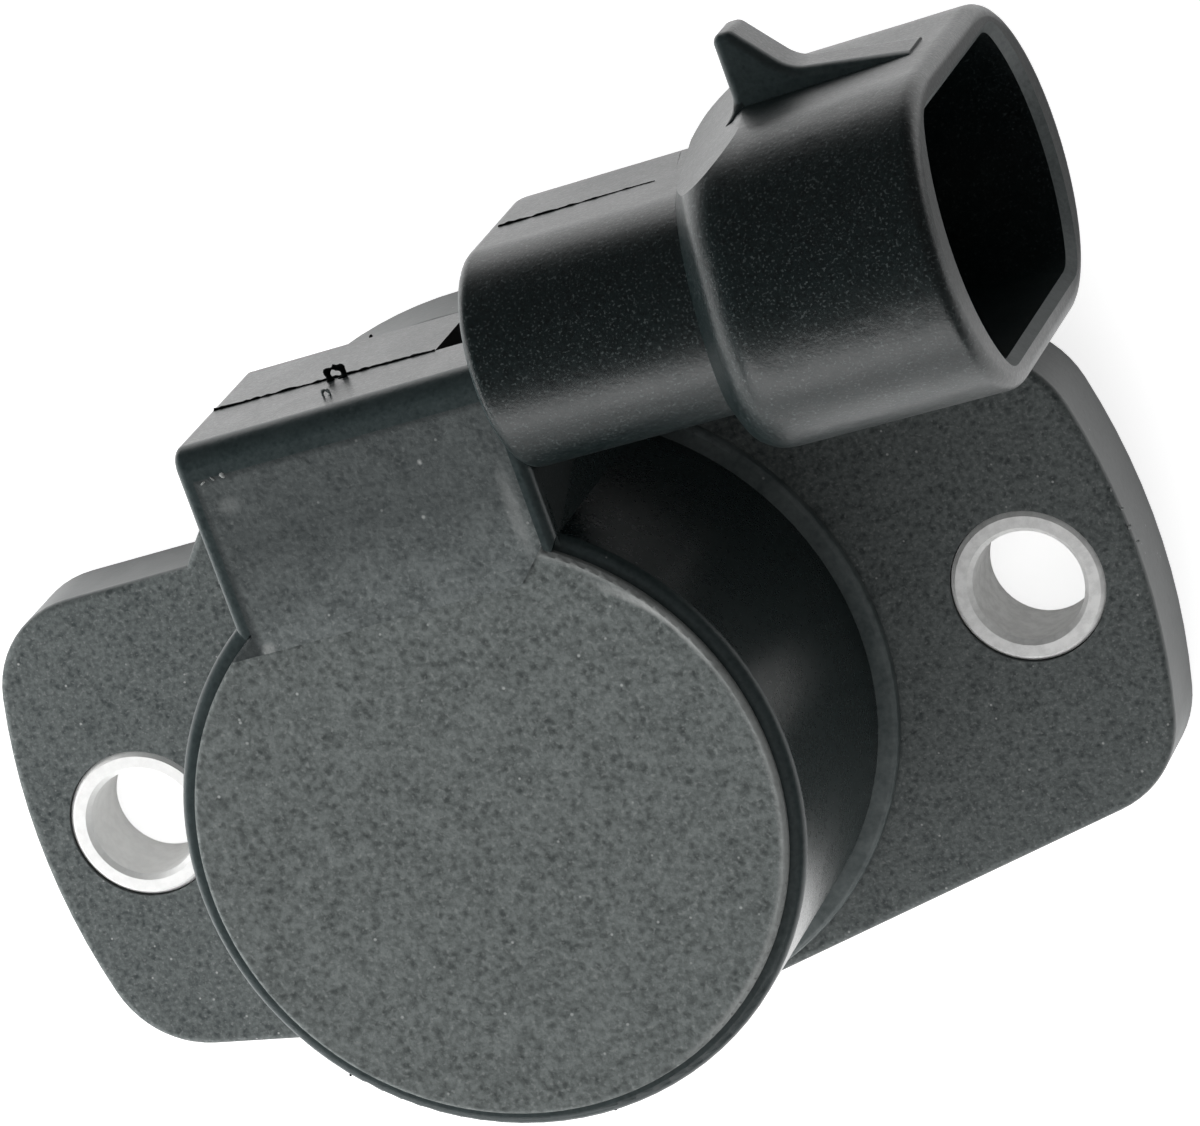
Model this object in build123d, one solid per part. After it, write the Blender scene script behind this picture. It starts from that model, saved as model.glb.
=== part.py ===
from build123d import *
import os
from math import acos, atan2, cos, degrees, hypot, radians, sin, sqrt, tan

# Throttle position sensor. The rotor axis is Z, the flange back is z = 0 and
# the two fixing holes lie on X. The connector mouth faces +X.

# Fixing flange
HOLE_SPACING = 50.0
FLANGE_T = 5.0
EAR_MARGIN = 6.05
EAR_BOW_R = 36.0
EAR_TOP_Y = 12.7
EAR_LOW_Y = -12.1
EAR_CORNER_R = 5.5
FLANGE_LOW_RIM = 1.3
FLANGE_HIGH_RIM = 5.7
FLANGE_EDGE_R = 0.4

# Fixing sleeves
SLEEVE_OD = 8.0
SLEEVE_BORE = 5.8
SLEEVE_CHAMFER = 0.25
SLEEVE_FIT = 0.04

# Round body and its front rim
BODY_R = 16.0
BODY_WALL = 2.1
RIM_Z = 22.55
RIM_EDGE_R = 0.5
STEP_W = 1.05
STEP_H = 0.7
STEP_EDGE_R = 0.3

# Terminal block on the side of the round body
BLOCK_LEFT_X = -8.9
BLOCK_RIGHT_X = 8.6
BLOCK_OVERHANG = 1.1
BLOCK_BACK_DROP = 7.0
BLOCK_WALL = 1.8
BLOCK_TOP_EDGE_R = 1.1
CHAMBER_TOP_WALL = 4.2
CHAMBER_CLEAR = 0.75
NOTCH_L = 4.5
NOTCH_D = 1.5

# Front cover, a keyhole plate that stands proud of the rim
COVER_PROUD = 0.45
COVER_INSET = 0.8
COVER_TOP_INSET = 1.75
COVER_EDGE_R = 0.25
COVER_SEAM = 0.05
PLUG_T = 1.3
PLUG_CLEAR = 0.1
HOLD_RING_W = 1.4
PAD_RISE = 0.08
PAD_LOW_Y = 11.7
PAD_CHAMFER = 1.6

# Connector: neck, flare and shroud, upright slots in a row along X
CONNECTOR_DROP = 0.1
NECK_OVERLAP = 0.2
NECK_DROP = 0.4
NECK_W = 11.2
NECK_H = 19.5
NECK_BACK_L = 0.45
NECK_EDGE_R = 0.7
FLARE_X = 18.65
FLARE_L = 1.4
SHOULDER_TILT = 10.0
SHOULDER_TURN = 3.6
SHOULDER_BEVEL_L = 4.8
SHROUD_W = 15.6
SHROUD_H = 26.6
SHROUD_EDGE_R = 2.5
MOUTH_X = 34.1
MOUTH_GROWTH = 0.5
MOUTH_EDGE_R = 0.8
SOCKET_W = 12.6
SOCKET_SIDE_H = 15.6
SOCKET_H = 21.8
SOCKET_CORNER_R = 2.3
SOCKET_BACK_WALL = 2.95
SOCKET_LEAD_IN = 0.45

# Latch lug and its low rib, on the +Y side of the shroud
LUG_INSET = 3.15
LUG_H = 3.75
LUG_CREST_L = 1.0
LUG_RAMP_L = 2.3
LUG_W = 3.0
LUG_CREST_R = 0.48
LUG_RAMP_R = 2.0
LUG_SIDE_R = 0.5
LUG_ROOT_R = 0.6
LUG_ROOT_L = 0.7
RIB_H = 1.1
RIB_END_H = 0.4
RIB_END_INSET = 1.7

# Rear face: recess round the drive hub and groove for the flange seal
RECESS_R = 10.6
FLANGE_SEAL_INSET = 2.7
FLANGE_SEAL_D = 1.8
FLANGE_GROOVE_W = 2.1
SEAL_LIE = 0.03

# Bearing tower inside the round body
TOWER_R = 10.0
TOWER_DROP = 6.2
CAVITY_FLOOR_Z = 6.0
BUSH_OD = 16.0
BUSH_WALL = 1.45
BUSH_SEAL_ROOM = 2.1
RUN_CLEAR = 0.05
ROTOR_SEAL_EASE = 0.13
PRESS_CLEAR = 0.02

# Rotor with its D-shaped drive socket
HUB_BACK_Z = 0.8
ROTOR_DISC_CLEAR = 0.4
ROTOR_DISC_T = 2.0
SHAFT_D = 8.0
SHAFT_FLAT = 2.9
SHAFT_CLEAR = 0.08
SOCKET_DEPTH = 10.0
THRUST_WASHER_T = 0.5
THRUST_WASHER_INSET = 0.4
THRUST_WASHER_CLEAR = 0.2
THRUST_GAP = 0.08
REST_ANGLE = -145.0
TRAVEL = 110.0
STOP_CLEAR = 0.6
STOP_HALF_ANGLE = 8.0
STOP_RIB_ANGLE = 6.0
STOP_GAP_ANGLE = 1.5
STOP_RIB_H = 1.7

# Retaining ring and bowed spring washer behind the tower
RING_T = 0.6
RING_REACH = 2.1
RING_GROOVE_D = 0.55
RING_BACK_Z = 1.3
RING_GAP_ANGLE = 50.0
RING_CLEAR = 0.02
SPRING_T = 0.3
SPRING_BOW = 0.45
SPRING_RIM_CLEAR = 1.4
SPRING_END_CLEAR = 0.23
SPRING_SIDE_CLEAR = 0.2

# Drive clip, a bowed leaf behind the flat of the drive socket
CLIP_T = 0.4
CLIP_W = 4.2
CLIP_L = 7.6
CLIP_BOW = 0.35
CLIP_CLEAR = 0.05

# Track board, its printed tracks and conductors
BOARD_DEPTH = 3.75
BOARD_T = 0.8
BOARD_CLEAR = 0.1
BOARD_SEAT_W = 1.0
PRINT_T = 0.08
TRACK_INSET = 4.0
TRACK_SPACING = 3.3
TRACK_W = 2.2
TRACK_OVERRUN = 8.0
CONDUCTOR_W = 0.9
PAD_PITCH = 4.2
PAD_INSET = 2.1
PAD_W = 2.0
SOLDER_R = 0.95

# Wiper: a plate with two groups of sprung fingers
WIPER_T = 0.2
WIPER_PLATE_L = 2.4
WIPER_PLATE_MARGIN = 1.3
WIPER_SEAT_H = 0.7
FINGER_W = 0.45
FINGER_PITCH = 0.65
FINGERS_PER_TRACK = 3
FINGER_RUN = 3.0
FINGER_TIP_L = 0.6
WIPER_GAP = 0.05
STAKE_R = 0.55
STAKE_HEAD_R = 0.9
STAKE_HEAD_H = 0.35
STAKE_CLEAR = 0.03

# Terminals: blades in the socket, leads through the neck, tails under the board
PIN_PITCH = 5.9
BLADE_W = 1.5
BLADE_T = 0.7
BLADE_RECESS = 6.2
BLADE_TIP_L = 1.2
LEAD_PITCH = 3.0
LEAD_COVER = 2.5
LEAD_ROOM = 0.5
JOG_INSET = 2.4
LEAD_JOG_L = 3.0
TAIL_CLEAR = 0.5
TAIL_FOOT_H = 1.2
TAIL_FOOT_BACK = 0.6

# How near an edge lies to a plane to be picked for rounding
PICK_REACH = 0.05

# Sizes that follow from the driving dimensions
EAR_END_X = HOLE_SPACING / 2 + EAR_MARGIN
FLANGE_LOW_R = BODY_R + FLANGE_LOW_RIM
FLANGE_HIGH_R = BODY_R + FLANGE_HIGH_RIM
BLOCK_TOP_Y = FLANGE_HIGH_R + BLOCK_OVERHANG
FRONT_Z = RIM_Z + COVER_PROUD
FACE_Z = FRONT_Z + PAD_RISE
SEAM_Z = RIM_Z - PLUG_T - LEAD_ROOM - BLADE_W / 2 - LEAD_PITCH
BLOCK_BACK_Z = SEAM_Z - BLOCK_BACK_DROP
CONNECTOR_Y = BLOCK_TOP_Y - CONNECTOR_DROP
NECK_Y = CONNECTOR_Y - NECK_DROP
NECK_Z = SEAM_Z - NECK_BACK_L
NECK_X = BLOCK_RIGHT_X - NECK_OVERLAP
SHROUD_X = FLARE_X + FLARE_L
SOCKET_FLOOR_X = SHROUD_X + SOCKET_BACK_WALL
LUG_X = SHROUD_X + LUG_INSET
BLADE_TIP_X = MOUTH_X - BLADE_RECESS
JOG_END_X = FLARE_X - JOG_INSET
LEAD_Y = BLOCK_TOP_Y - LEAD_COVER
CHAMBER_TOP_Y = BLOCK_TOP_Y - CHAMBER_TOP_WALL
CHAMBER_FLOOR_Z = SEAM_Z - LEAD_PITCH - BLADE_W / 2 - CHAMBER_CLEAR
BOARD_BACK_Z = RIM_Z - BOARD_DEPTH
CAVITY_R = BODY_R - BODY_WALL
LOW_CAVITY_R = CAVITY_R - BOARD_SEAT_W
PAD_Y = CAVITY_R - PAD_INSET
TAIL_RISE_Y = CAVITY_R + TAIL_CLEAR
RESISTOR_R = LOW_CAVITY_R - TRACK_INSET
COLLECTOR_R = RESISTOR_R - TRACK_SPACING
STOP_R = LOW_CAVITY_R - STOP_CLEAR
ROTOR_DISC_R = LOW_CAVITY_R - STOP_RIB_H - ROTOR_DISC_CLEAR
SPRING_BACK_Z = RING_BACK_Z + RING_T + RING_CLEAR
SPRING_CREST_Z = SPRING_BACK_Z + SPRING_BOW + SPRING_T
RECESS_D = SPRING_CREST_Z + SPRING_END_CLEAR
FLANGE_SEAL_R = RECESS_R + FLANGE_SEAL_INSET
TOWER_TOP_Z = BOARD_BACK_Z - TOWER_DROP
CHAMBER_LEFT_X = BLOCK_LEFT_X + BLOCK_WALL
CHAMBER_RIGHT_X = BLOCK_RIGHT_X - BLOCK_WALL
BUSH_R = BUSH_OD / 2
HUB_R = BUSH_R - BUSH_WALL - RUN_CLEAR
BUSH_BACK_Z = RECESS_D + BUSH_SEAL_ROOM
DISC_BACK_Z = TOWER_TOP_Z + THRUST_WASHER_T + THRUST_GAP
DISC_FRONT_Z = DISC_BACK_Z + ROTOR_DISC_T
WIPER_Z = DISC_FRONT_Z + WIPER_SEAT_H
PRINT_BACK_Z = BOARD_BACK_Z - PRINT_T
TRACK_START = REST_ANGLE - TRACK_OVERRUN
TRACK_END = REST_ANGLE + TRAVEL + TRACK_OVERRUN
WIPER_PLATE_Y = -FINGER_RUN - WIPER_PLATE_L / 2
WIPER_PLATE_X = (COLLECTOR_R - WIPER_PLATE_MARGIN, RESISTOR_R + FINGER_PITCH)


def span(low, high):
    """Centre and length of the stretch from low to high."""
    return (low + high) / 2, high - low


def block(x, y, z):
    """Box over three (low, high) pairs."""
    (cx, lx), (cy, ly), (cz, lz) = span(*x), span(*y), span(*z)
    return Pos(cx, cy, cz) * Box(lx, ly, lz)


def disc(radius, low, high):
    """Cylinder about the rotor axis from height low to height high."""
    centre, length = span(low, high)
    return Pos(0, 0, centre) * Cylinder(radius, length)


def tube(outer, inner, low, high):
    """Ring about the rotor axis from height low to height high."""
    return disc(outer, low, high) - disc(inner, low, high)


def keyhole(radius, left, right, top):
    """Outline of a circle about the axis with a rectangular side block."""
    cx, width = span(left, right)
    return Circle(radius) + Pos(cx, top / 2) * Rectangle(width, top)


def polar(radius, angle):
    """Point at a radius and an angle in degrees."""
    return radius * cos(radians(angle)), radius * sin(radians(angle))


def ring_sector(inner, outer, start, end):
    """Face of a ring between two angles in degrees."""
    middle = (start + end) / 2
    edges = [
        ThreePointArc(polar(outer, start), polar(outer, middle), polar(outer, end)),
        Line(polar(outer, end), polar(inner, end)),
        ThreePointArc(polar(inner, end), polar(inner, middle), polar(inner, start)),
        Line(polar(inner, start), polar(outer, start)),
    ]
    return make_face(edges)


def raised(face, low, high):
    """Solid of a flat outline from height low to height high."""
    return Pos(0, 0, low) * extrude(face, high - low, dir=(0, 0, 1))


def upright_slot(x, y, z, width, height, tilt=0.0, turn=0.0):
    """Slot outline across the connector, long side along Z, its top and +Y side leaning to +X."""
    lean, swing = radians(tilt), radians(turn)
    face = SlotCenterToCenter(height / cos(lean) - width, width, rotation=90)
    across = (sin(swing), cos(swing), 0)
    facing = (cos(lean) * cos(swing), -cos(lean) * sin(swing), -sin(lean))
    return Plane((x, y, z), across, facing) * face


def tangent_point(x, y, radius):
    """Where the lower tangent from a point on +X touches a circle about the axis."""
    turn = atan2(y, x) - acos(radius / hypot(x, y))
    return radius * cos(turn), radius * sin(turn)


def flange_outline():
    """Two bowed ears, a round belly below and a wider arc behind the block."""
    def ear_x(y):
        return EAR_END_X - EAR_BOW_R + sqrt(EAR_BOW_R**2 - y**2)

    top_x, low_x = ear_x(EAR_TOP_Y), ear_x(EAR_LOW_Y)
    touch_x, touch_y = tangent_point(low_x, EAR_LOW_Y, FLANGE_LOW_R)
    ears = make_face([
        ThreePointArc((low_x, EAR_LOW_Y), (EAR_END_X, 0), (top_x, EAR_TOP_Y)),
        Line((top_x, EAR_TOP_Y), (-top_x, EAR_TOP_Y)),
        ThreePointArc((-top_x, EAR_TOP_Y), (-EAR_END_X, 0), (-low_x, EAR_LOW_Y)),
        Line((-low_x, EAR_LOW_Y), (-touch_x, touch_y)),
        Line((-touch_x, touch_y), (touch_x, touch_y)),
        Line((touch_x, touch_y), (low_x, EAR_LOW_Y)),
    ])
    corners = [v for v in ears.vertices() if abs(v.X) > HOLE_SPACING / 2]
    ears = fillet(corners, EAR_CORNER_R)
    upper_half = Pos(0, FLANGE_HIGH_R / 2) * Rectangle(2 * FLANGE_HIGH_R, FLANGE_HIGH_R)
    return ears + Circle(FLANGE_LOW_R) + (Circle(FLANGE_HIGH_R) & upper_half)


def flange():
    """Flange plate with its front edge rounded and the low step round the body."""
    plate = raised(flange_outline(), 0, FLANGE_T)
    front_edges = plate.faces().sort_by(Axis.Z)[-1].edges()
    plate = fillet(front_edges, FLANGE_EDGE_R)
    step = disc(BODY_R + STEP_W, FLANGE_T, FLANGE_T + STEP_H)
    step = fillet(step.edges().sort_by(Axis.Z)[-1], STEP_EDGE_R)
    return plate + step


def block_face():
    """Outline of the block's face above the rim, its low ends cut square to the rim."""
    ends = [(x, sqrt(BODY_R ** 2 - x ** 2)) for x in (BLOCK_LEFT_X, BLOCK_RIGHT_X)]
    inset = (BODY_R - COVER_INSET) / BODY_R
    inner = [(x * inset, y * inset) for x, y in ends]
    top = [(x, BLOCK_TOP_Y) for x, y in ends]
    return make_face(Polyline(top[0], ends[0], inner[0], inner[1], ends[1], top[1], top[0]))


def side_block():
    """Terminal block with its foot on the flange arc, the edges of its face rounded."""
    x = (BLOCK_LEFT_X, BLOCK_RIGHT_X)
    body = block(x, (0, BLOCK_TOP_Y), (BLOCK_BACK_Z, RIM_Z))
    body += raised(block_face(), RIM_Z, FACE_Z)
    top_edges = body.edges().filter_by(Axis.X).group_by(Axis.Y)[-1]
    body = fillet(top_edges.sort_by(Axis.Z)[-1], BLOCK_TOP_EDGE_R)
    side_edges = body.faces().sort_by(Axis.Z)[-1].edges().filter_by(Axis.Y)
    body = fillet(side_edges, RIM_EDGE_R)
    foot = disc(FLANGE_HIGH_R, FLANGE_T, BLOCK_BACK_Z)
    foot &= block(x, (0, FLANGE_HIGH_R), (FLANGE_T, BLOCK_BACK_Z))
    return body + foot


def connector_body():
    """Neck, flare and shroud as one ruled loft through four slots."""
    mouth_w = SHROUD_W + MOUTH_GROWTH
    mouth_h = SHROUD_H + MOUTH_GROWTH
    sections = [
        upright_slot(NECK_X, NECK_Y, NECK_Z, NECK_W, NECK_H),
        upright_slot(FLARE_X, NECK_Y, NECK_Z, NECK_W, NECK_H, SHOULDER_TILT, SHOULDER_TURN),
        upright_slot(SHROUD_X, CONNECTOR_Y, SEAM_Z, SHROUD_W, SHROUD_H, SHOULDER_TILT, SHOULDER_TURN),
        upright_slot(MOUTH_X, CONNECTOR_Y, SEAM_Z, mouth_w, mouth_h),
    ]
    body = loft(sections, ruled=True)

    def ring_of(section):
        plane = Plane(section.faces()[0])
        return [e for e in body.edges() if abs(plane.to_local_coords(e.center()).Z) < PICK_REACH]

    body = fillet(ring_of(sections[2]), SHROUD_EDGE_R)
    body = fillet(ring_of(sections[0]), NECK_EDGE_R)
    return fillet(ring_of(sections[3]), MOUTH_EDGE_R) - shoulder_bevel()


def shoulder_bevel():
    """Wedge that bevels the latch side of the shoulder, leaning as the shoulder does."""
    low_y = NECK_Y + NECK_W / 2
    rise = CONNECTOR_Y + SHROUD_W / 2 - low_y
    lean = tan(radians(SHOULDER_TILT))
    reach = SHROUD_H / 2
    wedge = make_face(Polyline(
        (0, low_y),
        (2 * SHOULDER_BEVEL_L, low_y + 2 * rise),
        (0, low_y + 2 * rise),
        (0, low_y),
    ))
    foot = Pos(FLARE_X - reach * lean, 0, SEAM_Z - reach) * wedge
    return extrude(foot, 2 * reach * hypot(1, lean), dir=(lean, 0, 1))


def socket_hollow():
    """Space inside the shroud: straight sides, bowed ends and a lead-in."""
    half_w, side, end = SOCKET_W / 2, SOCKET_SIDE_H / 2, SOCKET_H / 2
    face = make_face([
        Line((half_w, -side), (half_w, side)),
        ThreePointArc((half_w, side), (0, end), (-half_w, side)),
        Line((-half_w, side), (-half_w, -side)),
        ThreePointArc((-half_w, -side), (0, -end), (half_w, -side)),
    ])
    face = fillet(face.vertices(), SOCKET_CORNER_R)
    depth = MOUTH_X - SOCKET_FLOOR_X
    seat = Plane.YZ.offset(SOCKET_FLOOR_X) * Pos(CONNECTOR_Y, SEAM_Z)
    hollow = extrude(seat * face, depth, dir=(1, 0, 0))
    lead_in = Plane.YZ.offset(MOUTH_X) * Pos(CONNECTOR_Y, SEAM_Z) * offset(face, SOCKET_LEAD_IN)
    throat = Plane.YZ.offset(MOUTH_X - SOCKET_LEAD_IN) * Pos(CONNECTOR_Y, SEAM_Z) * face
    return hollow + loft([throat, lead_in], ruled=True)


def latch_lug():
    """Latch ramp and the low rib that runs from it towards the mouth."""
    wall_y = CONNECTOR_Y + SHROUD_W / 2
    root_y = wall_y - LUG_ROOT_L
    ramp_x = LUG_X + LUG_CREST_L + LUG_RAMP_L
    rib_x = MOUTH_X - RIB_END_INSET
    crest_y = wall_y + LUG_H
    profile = make_face(Polyline(
        (LUG_X - LUG_ROOT_L, root_y),
        (LUG_X - LUG_ROOT_L, wall_y),
        (LUG_X, wall_y),
        (LUG_X, crest_y),
        (LUG_X + LUG_CREST_L, crest_y),
        (ramp_x, wall_y + RIB_H),
        (rib_x, wall_y + MOUTH_GROWTH / 2 + RIB_END_H),
        (rib_x, root_y),
        (LUG_X - LUG_ROOT_L, root_y),
    ))
    heel = profile.vertices().sort_by_distance((LUG_X, wall_y))[0]
    profile = fillet(heel, LUG_ROOT_R)
    ramp_foot = profile.vertices().sort_by_distance((ramp_x, wall_y + RIB_H))[0]
    profile = fillet(ramp_foot, LUG_RAMP_R)
    crest = profile.vertices().group_by(Axis.Y)[-1]
    profile = fillet(crest, LUG_CREST_R)
    lug = raised(profile, SEAM_Z - LUG_W / 2, SEAM_Z + LUG_W / 2)
    flanks = lug.faces().filter_by(Axis.Z)
    upper = [e for e in flanks.edges() if e.center().Y > wall_y and e.center().X > LUG_X - LUG_ROOT_R / 2]
    return fillet(upper, LUG_SIDE_R)


def stop_ribs():
    """Two ribs on the cavity wall that end the rotor's travel."""
    reach = STOP_HALF_ANGLE + STOP_GAP_ANGLE
    starts = (
        REST_ANGLE - reach - STOP_RIB_ANGLE,
        REST_ANGLE + TRAVEL + reach,
    )
    ribs = Part()
    for start in starts:
        inner = LOW_CAVITY_R - STOP_RIB_H
        outer = LOW_CAVITY_R + BODY_WALL / 2
        face = ring_sector(inner, outer, start, start + STOP_RIB_ANGLE)
        ribs += raised(face, CAVITY_FLOOR_Z, DISC_FRONT_Z)
    return ribs


def housing(leads):
    """One moulding: flange, round body, terminal block, neck and shroud."""
    drum = disc(BODY_R, FLANGE_T, RIM_Z)
    drum = fillet(drum.edges().sort_by(Axis.Z)[-1], RIM_EDGE_R)
    body = flange() + drum + side_block()
    body -= raised(cover_outline(COVER_SEAM), RIM_Z, FACE_Z)

    # Hollow of the round body, the seat for the board and the lead chamber
    body -= disc(LOW_CAVITY_R, CAVITY_FLOOR_Z, RIM_Z)
    body -= disc(CAVITY_R, BOARD_BACK_Z, RIM_Z)
    chamber = (CHAMBER_LEFT_X, CHAMBER_RIGHT_X)
    body -= block(chamber, (0, CHAMBER_TOP_Y), (CHAMBER_FLOOR_Z, RIM_Z))
    body += disc(TOWER_R, RECESS_D, TOWER_TOP_Z) + stop_ribs()

    # Connector, joined after the hollows so that the neck stays whole
    body += connector_body() + latch_lug()
    body -= socket_hollow()
    notch_x = (NECK_X - NOTCH_L, NECK_X)
    body -= block(notch_x, (BLOCK_TOP_Y - NOTCH_D, BLOCK_TOP_Y), (BLOCK_BACK_Z, SEAM_Z))

    # Rear face: recess, bearing bore, seal groove and sleeve holes
    body -= disc(RECESS_R, 0, RECESS_D)
    body -= disc(BUSH_R + PRESS_CLEAR, 0, TOWER_TOP_Z)
    half_groove = FLANGE_GROOVE_W / 2
    groove_d = FLANGE_SEAL_D + 2 * SEAL_LIE
    body -= tube(FLANGE_SEAL_R + half_groove, FLANGE_SEAL_R - half_groove, 0, groove_d)
    for side in (-1, 1):
        hole = Cylinder(SLEEVE_OD / 2 + SLEEVE_FIT, FLANGE_T)
        body -= Pos(side * HOLE_SPACING / 2, 0, FLANGE_T / 2) * hole
    for lead in leads:
        body -= lead
    return body


def cover_outline(room=0.0):
    """Keyhole outline of the front cover, set in from the rim, with room around it."""
    return keyhole(
        BODY_R - COVER_INSET + room,
        BLOCK_LEFT_X + COVER_INSET - room,
        BLOCK_RIGHT_X - COVER_INSET + room,
        BLOCK_TOP_Y - COVER_TOP_INSET + room,
    )


def front_cover():
    """Keyhole plate with a plug in the cavity and a ring that holds the board."""
    plate = raised(cover_outline(), RIM_Z, FRONT_Z)
    plate = fillet(plate.faces().sort_by(Axis.Z)[-1].edges(), COVER_EDGE_R)
    plug = keyhole(
        CAVITY_R - PLUG_CLEAR,
        CHAMBER_LEFT_X + PLUG_CLEAR,
        CHAMBER_RIGHT_X - PLUG_CLEAR,
        CHAMBER_TOP_Y - PLUG_CLEAR,
    )
    ring_r = CAVITY_R - PLUG_CLEAR
    ring = tube(ring_r, ring_r - HOLD_RING_W, BOARD_BACK_Z + BOARD_T, RIM_Z)
    return plate + raised(plug, RIM_Z - PLUG_T, RIM_Z) + ring + face_pad()


def face_pad():
    """Pad on the cover, level with the block's face, one low corner cut."""
    left = BLOCK_LEFT_X + COVER_INSET
    right = BLOCK_RIGHT_X - COVER_INSET
    top = BLOCK_TOP_Y - COVER_TOP_INSET
    pad = make_face(Polyline(
        (left, PAD_LOW_Y),
        (right - PAD_CHAMFER, PAD_LOW_Y),
        (right, PAD_LOW_Y + PAD_CHAMFER),
        (right, top),
        (left, top),
        (left, PAD_LOW_Y),
    ))
    return raised(pad, RIM_Z, FACE_Z)


def sleeve(side):
    """Turned spacer sleeve in one fixing hole."""
    body = Cylinder(SLEEVE_OD / 2, FLANGE_T) - Cylinder(SLEEVE_BORE / 2, FLANGE_T)
    rims = body.edges().filter_by(GeomType.CIRCLE)
    body = chamfer(rims, SLEEVE_CHAMFER)
    return Pos(side * HOLE_SPACING / 2, 0, FLANGE_T / 2) * body


def flange_seal():
    """Ring in the flange groove, shown pressed flush with the rear face."""
    centre_z = SEAL_LIE + FLANGE_SEAL_D / 2
    return Pos(0, 0, centre_z) * Torus(FLANGE_SEAL_R, FLANGE_SEAL_D / 2)


def rotor_bush():
    """Plain bearing bush pressed in the tower."""
    return tube(BUSH_R, HUB_R + RUN_CLEAR, BUSH_BACK_Z, TOWER_TOP_Z)


def rotor_seal():
    """Ring seal between the hub and the tower bore, behind the bush."""
    middle_r = (BUSH_R + HUB_R + RUN_CLEAR) / 2
    thickness_r = (BUSH_WALL - ROTOR_SEAL_EASE) / 2
    centre_z = BUSH_BACK_Z - thickness_r - PRESS_CLEAR
    return Pos(0, 0, centre_z) * Torus(middle_r, thickness_r)


def thrust_washer():
    """Flat washer on the tower, under the rotor disc."""
    outer = TOWER_R - THRUST_WASHER_INSET
    inner = HUB_R + THRUST_WASHER_CLEAR
    return tube(outer, inner, TOWER_TOP_Z, TOWER_TOP_Z + THRUST_WASHER_T)


def rotor():
    """Hub with its drive socket, disc, stop and seat for the wiper."""
    body = disc(HUB_R, HUB_BACK_Z, DISC_BACK_Z) + disc(ROTOR_DISC_R, DISC_BACK_Z, DISC_FRONT_Z)
    ring_low = RING_BACK_Z - RING_CLEAR
    ring_high = RING_BACK_Z + RING_T + RING_CLEAR
    body -= tube(HUB_R, HUB_R - RING_GROOVE_D, ring_low, ring_high)
    stop = ring_sector(
        ROTOR_DISC_R - ROTOR_DISC_T,
        STOP_R,
        REST_ANGLE - STOP_HALF_ANGLE,
        REST_ANGLE + STOP_HALF_ANGLE,
    )
    body += raised(stop, DISC_BACK_Z, DISC_FRONT_Z)

    # D-shaped socket with the pocket for the drive clip beside its flat
    socket_r = SHAFT_D / 2 + SHAFT_CLEAR
    flat_x = SHAFT_FLAT + SHAFT_CLEAR
    top_z = HUB_BACK_Z + SOCKET_DEPTH
    socket = disc(socket_r, HUB_BACK_Z, top_z)
    socket &= block((-socket_r, flat_x), (-socket_r, socket_r), (HUB_BACK_Z, top_z))
    half_w = CLIP_W / 2 + CLIP_CLEAR
    pocket_x = (flat_x - SHAFT_CLEAR, flat_x + CLIP_BOW + CLIP_T + CLIP_CLEAR)
    pocket = block(pocket_x, (-half_w, half_w), (HUB_BACK_Z, HUB_BACK_Z + CLIP_L + CLIP_CLEAR))
    body -= Rot(0, 0, REST_ANGLE) * (socket + pocket)

    # Raised seat and two heat stakes for the wiper plate
    half_l = WIPER_PLATE_L / 2
    seat_y = (WIPER_PLATE_Y - half_l, WIPER_PLATE_Y + half_l)
    seat = block(WIPER_PLATE_X, seat_y, (DISC_FRONT_Z, WIPER_Z))
    for x in stake_places():
        seat += Pos(x, WIPER_PLATE_Y) * disc(STAKE_R, WIPER_Z, WIPER_Z + WIPER_T)
        head_z = WIPER_Z + WIPER_T
        seat += Pos(x, WIPER_PLATE_Y) * disc(STAKE_HEAD_R, head_z, head_z + STAKE_HEAD_H)
    return body + Rot(0, 0, REST_ANGLE) * seat


def stake_places():
    """Distances from the axis of the two heat stakes."""
    inner, outer = WIPER_PLATE_X
    return inner + WIPER_PLATE_L / 2, outer - WIPER_PLATE_L / 2


def wiper():
    """Sprung wiper: plate, two stake holes and fingers that reach the tracks."""
    half_l = WIPER_PLATE_L / 2
    plate_y = (WIPER_PLATE_Y - half_l, WIPER_PLATE_Y + half_l)
    body = block(WIPER_PLATE_X, plate_y, (WIPER_Z, WIPER_Z + WIPER_T))
    for x in stake_places():
        body -= Pos(x, WIPER_PLATE_Y) * disc(STAKE_R + STAKE_CLEAR, WIPER_Z, WIPER_Z + WIPER_T)
    tip_z = PRINT_BACK_Z - WIPER_GAP
    root_y = plate_y[1] - WIPER_T
    profile = make_face(Polyline(
        (root_y, WIPER_Z),
        (root_y + WIPER_T, WIPER_Z),
        (0, tip_z - WIPER_T),
        (FINGER_TIP_L, tip_z - 2 * WIPER_T),
        (FINGER_TIP_L, tip_z - WIPER_T),
        (0, tip_z),
        (root_y, WIPER_Z + WIPER_T),
        (root_y, WIPER_Z),
    ))
    middle = (FINGERS_PER_TRACK - 1) / 2
    for track_r in (RESISTOR_R, COLLECTOR_R):
        for finger in range(FINGERS_PER_TRACK):
            low_x = track_r + (finger - middle) * FINGER_PITCH - FINGER_W / 2
            body += extrude(Plane.YZ.offset(low_x) * profile, FINGER_W, dir=(1, 0, 0))
    return Rot(0, 0, REST_ANGLE) * body


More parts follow.
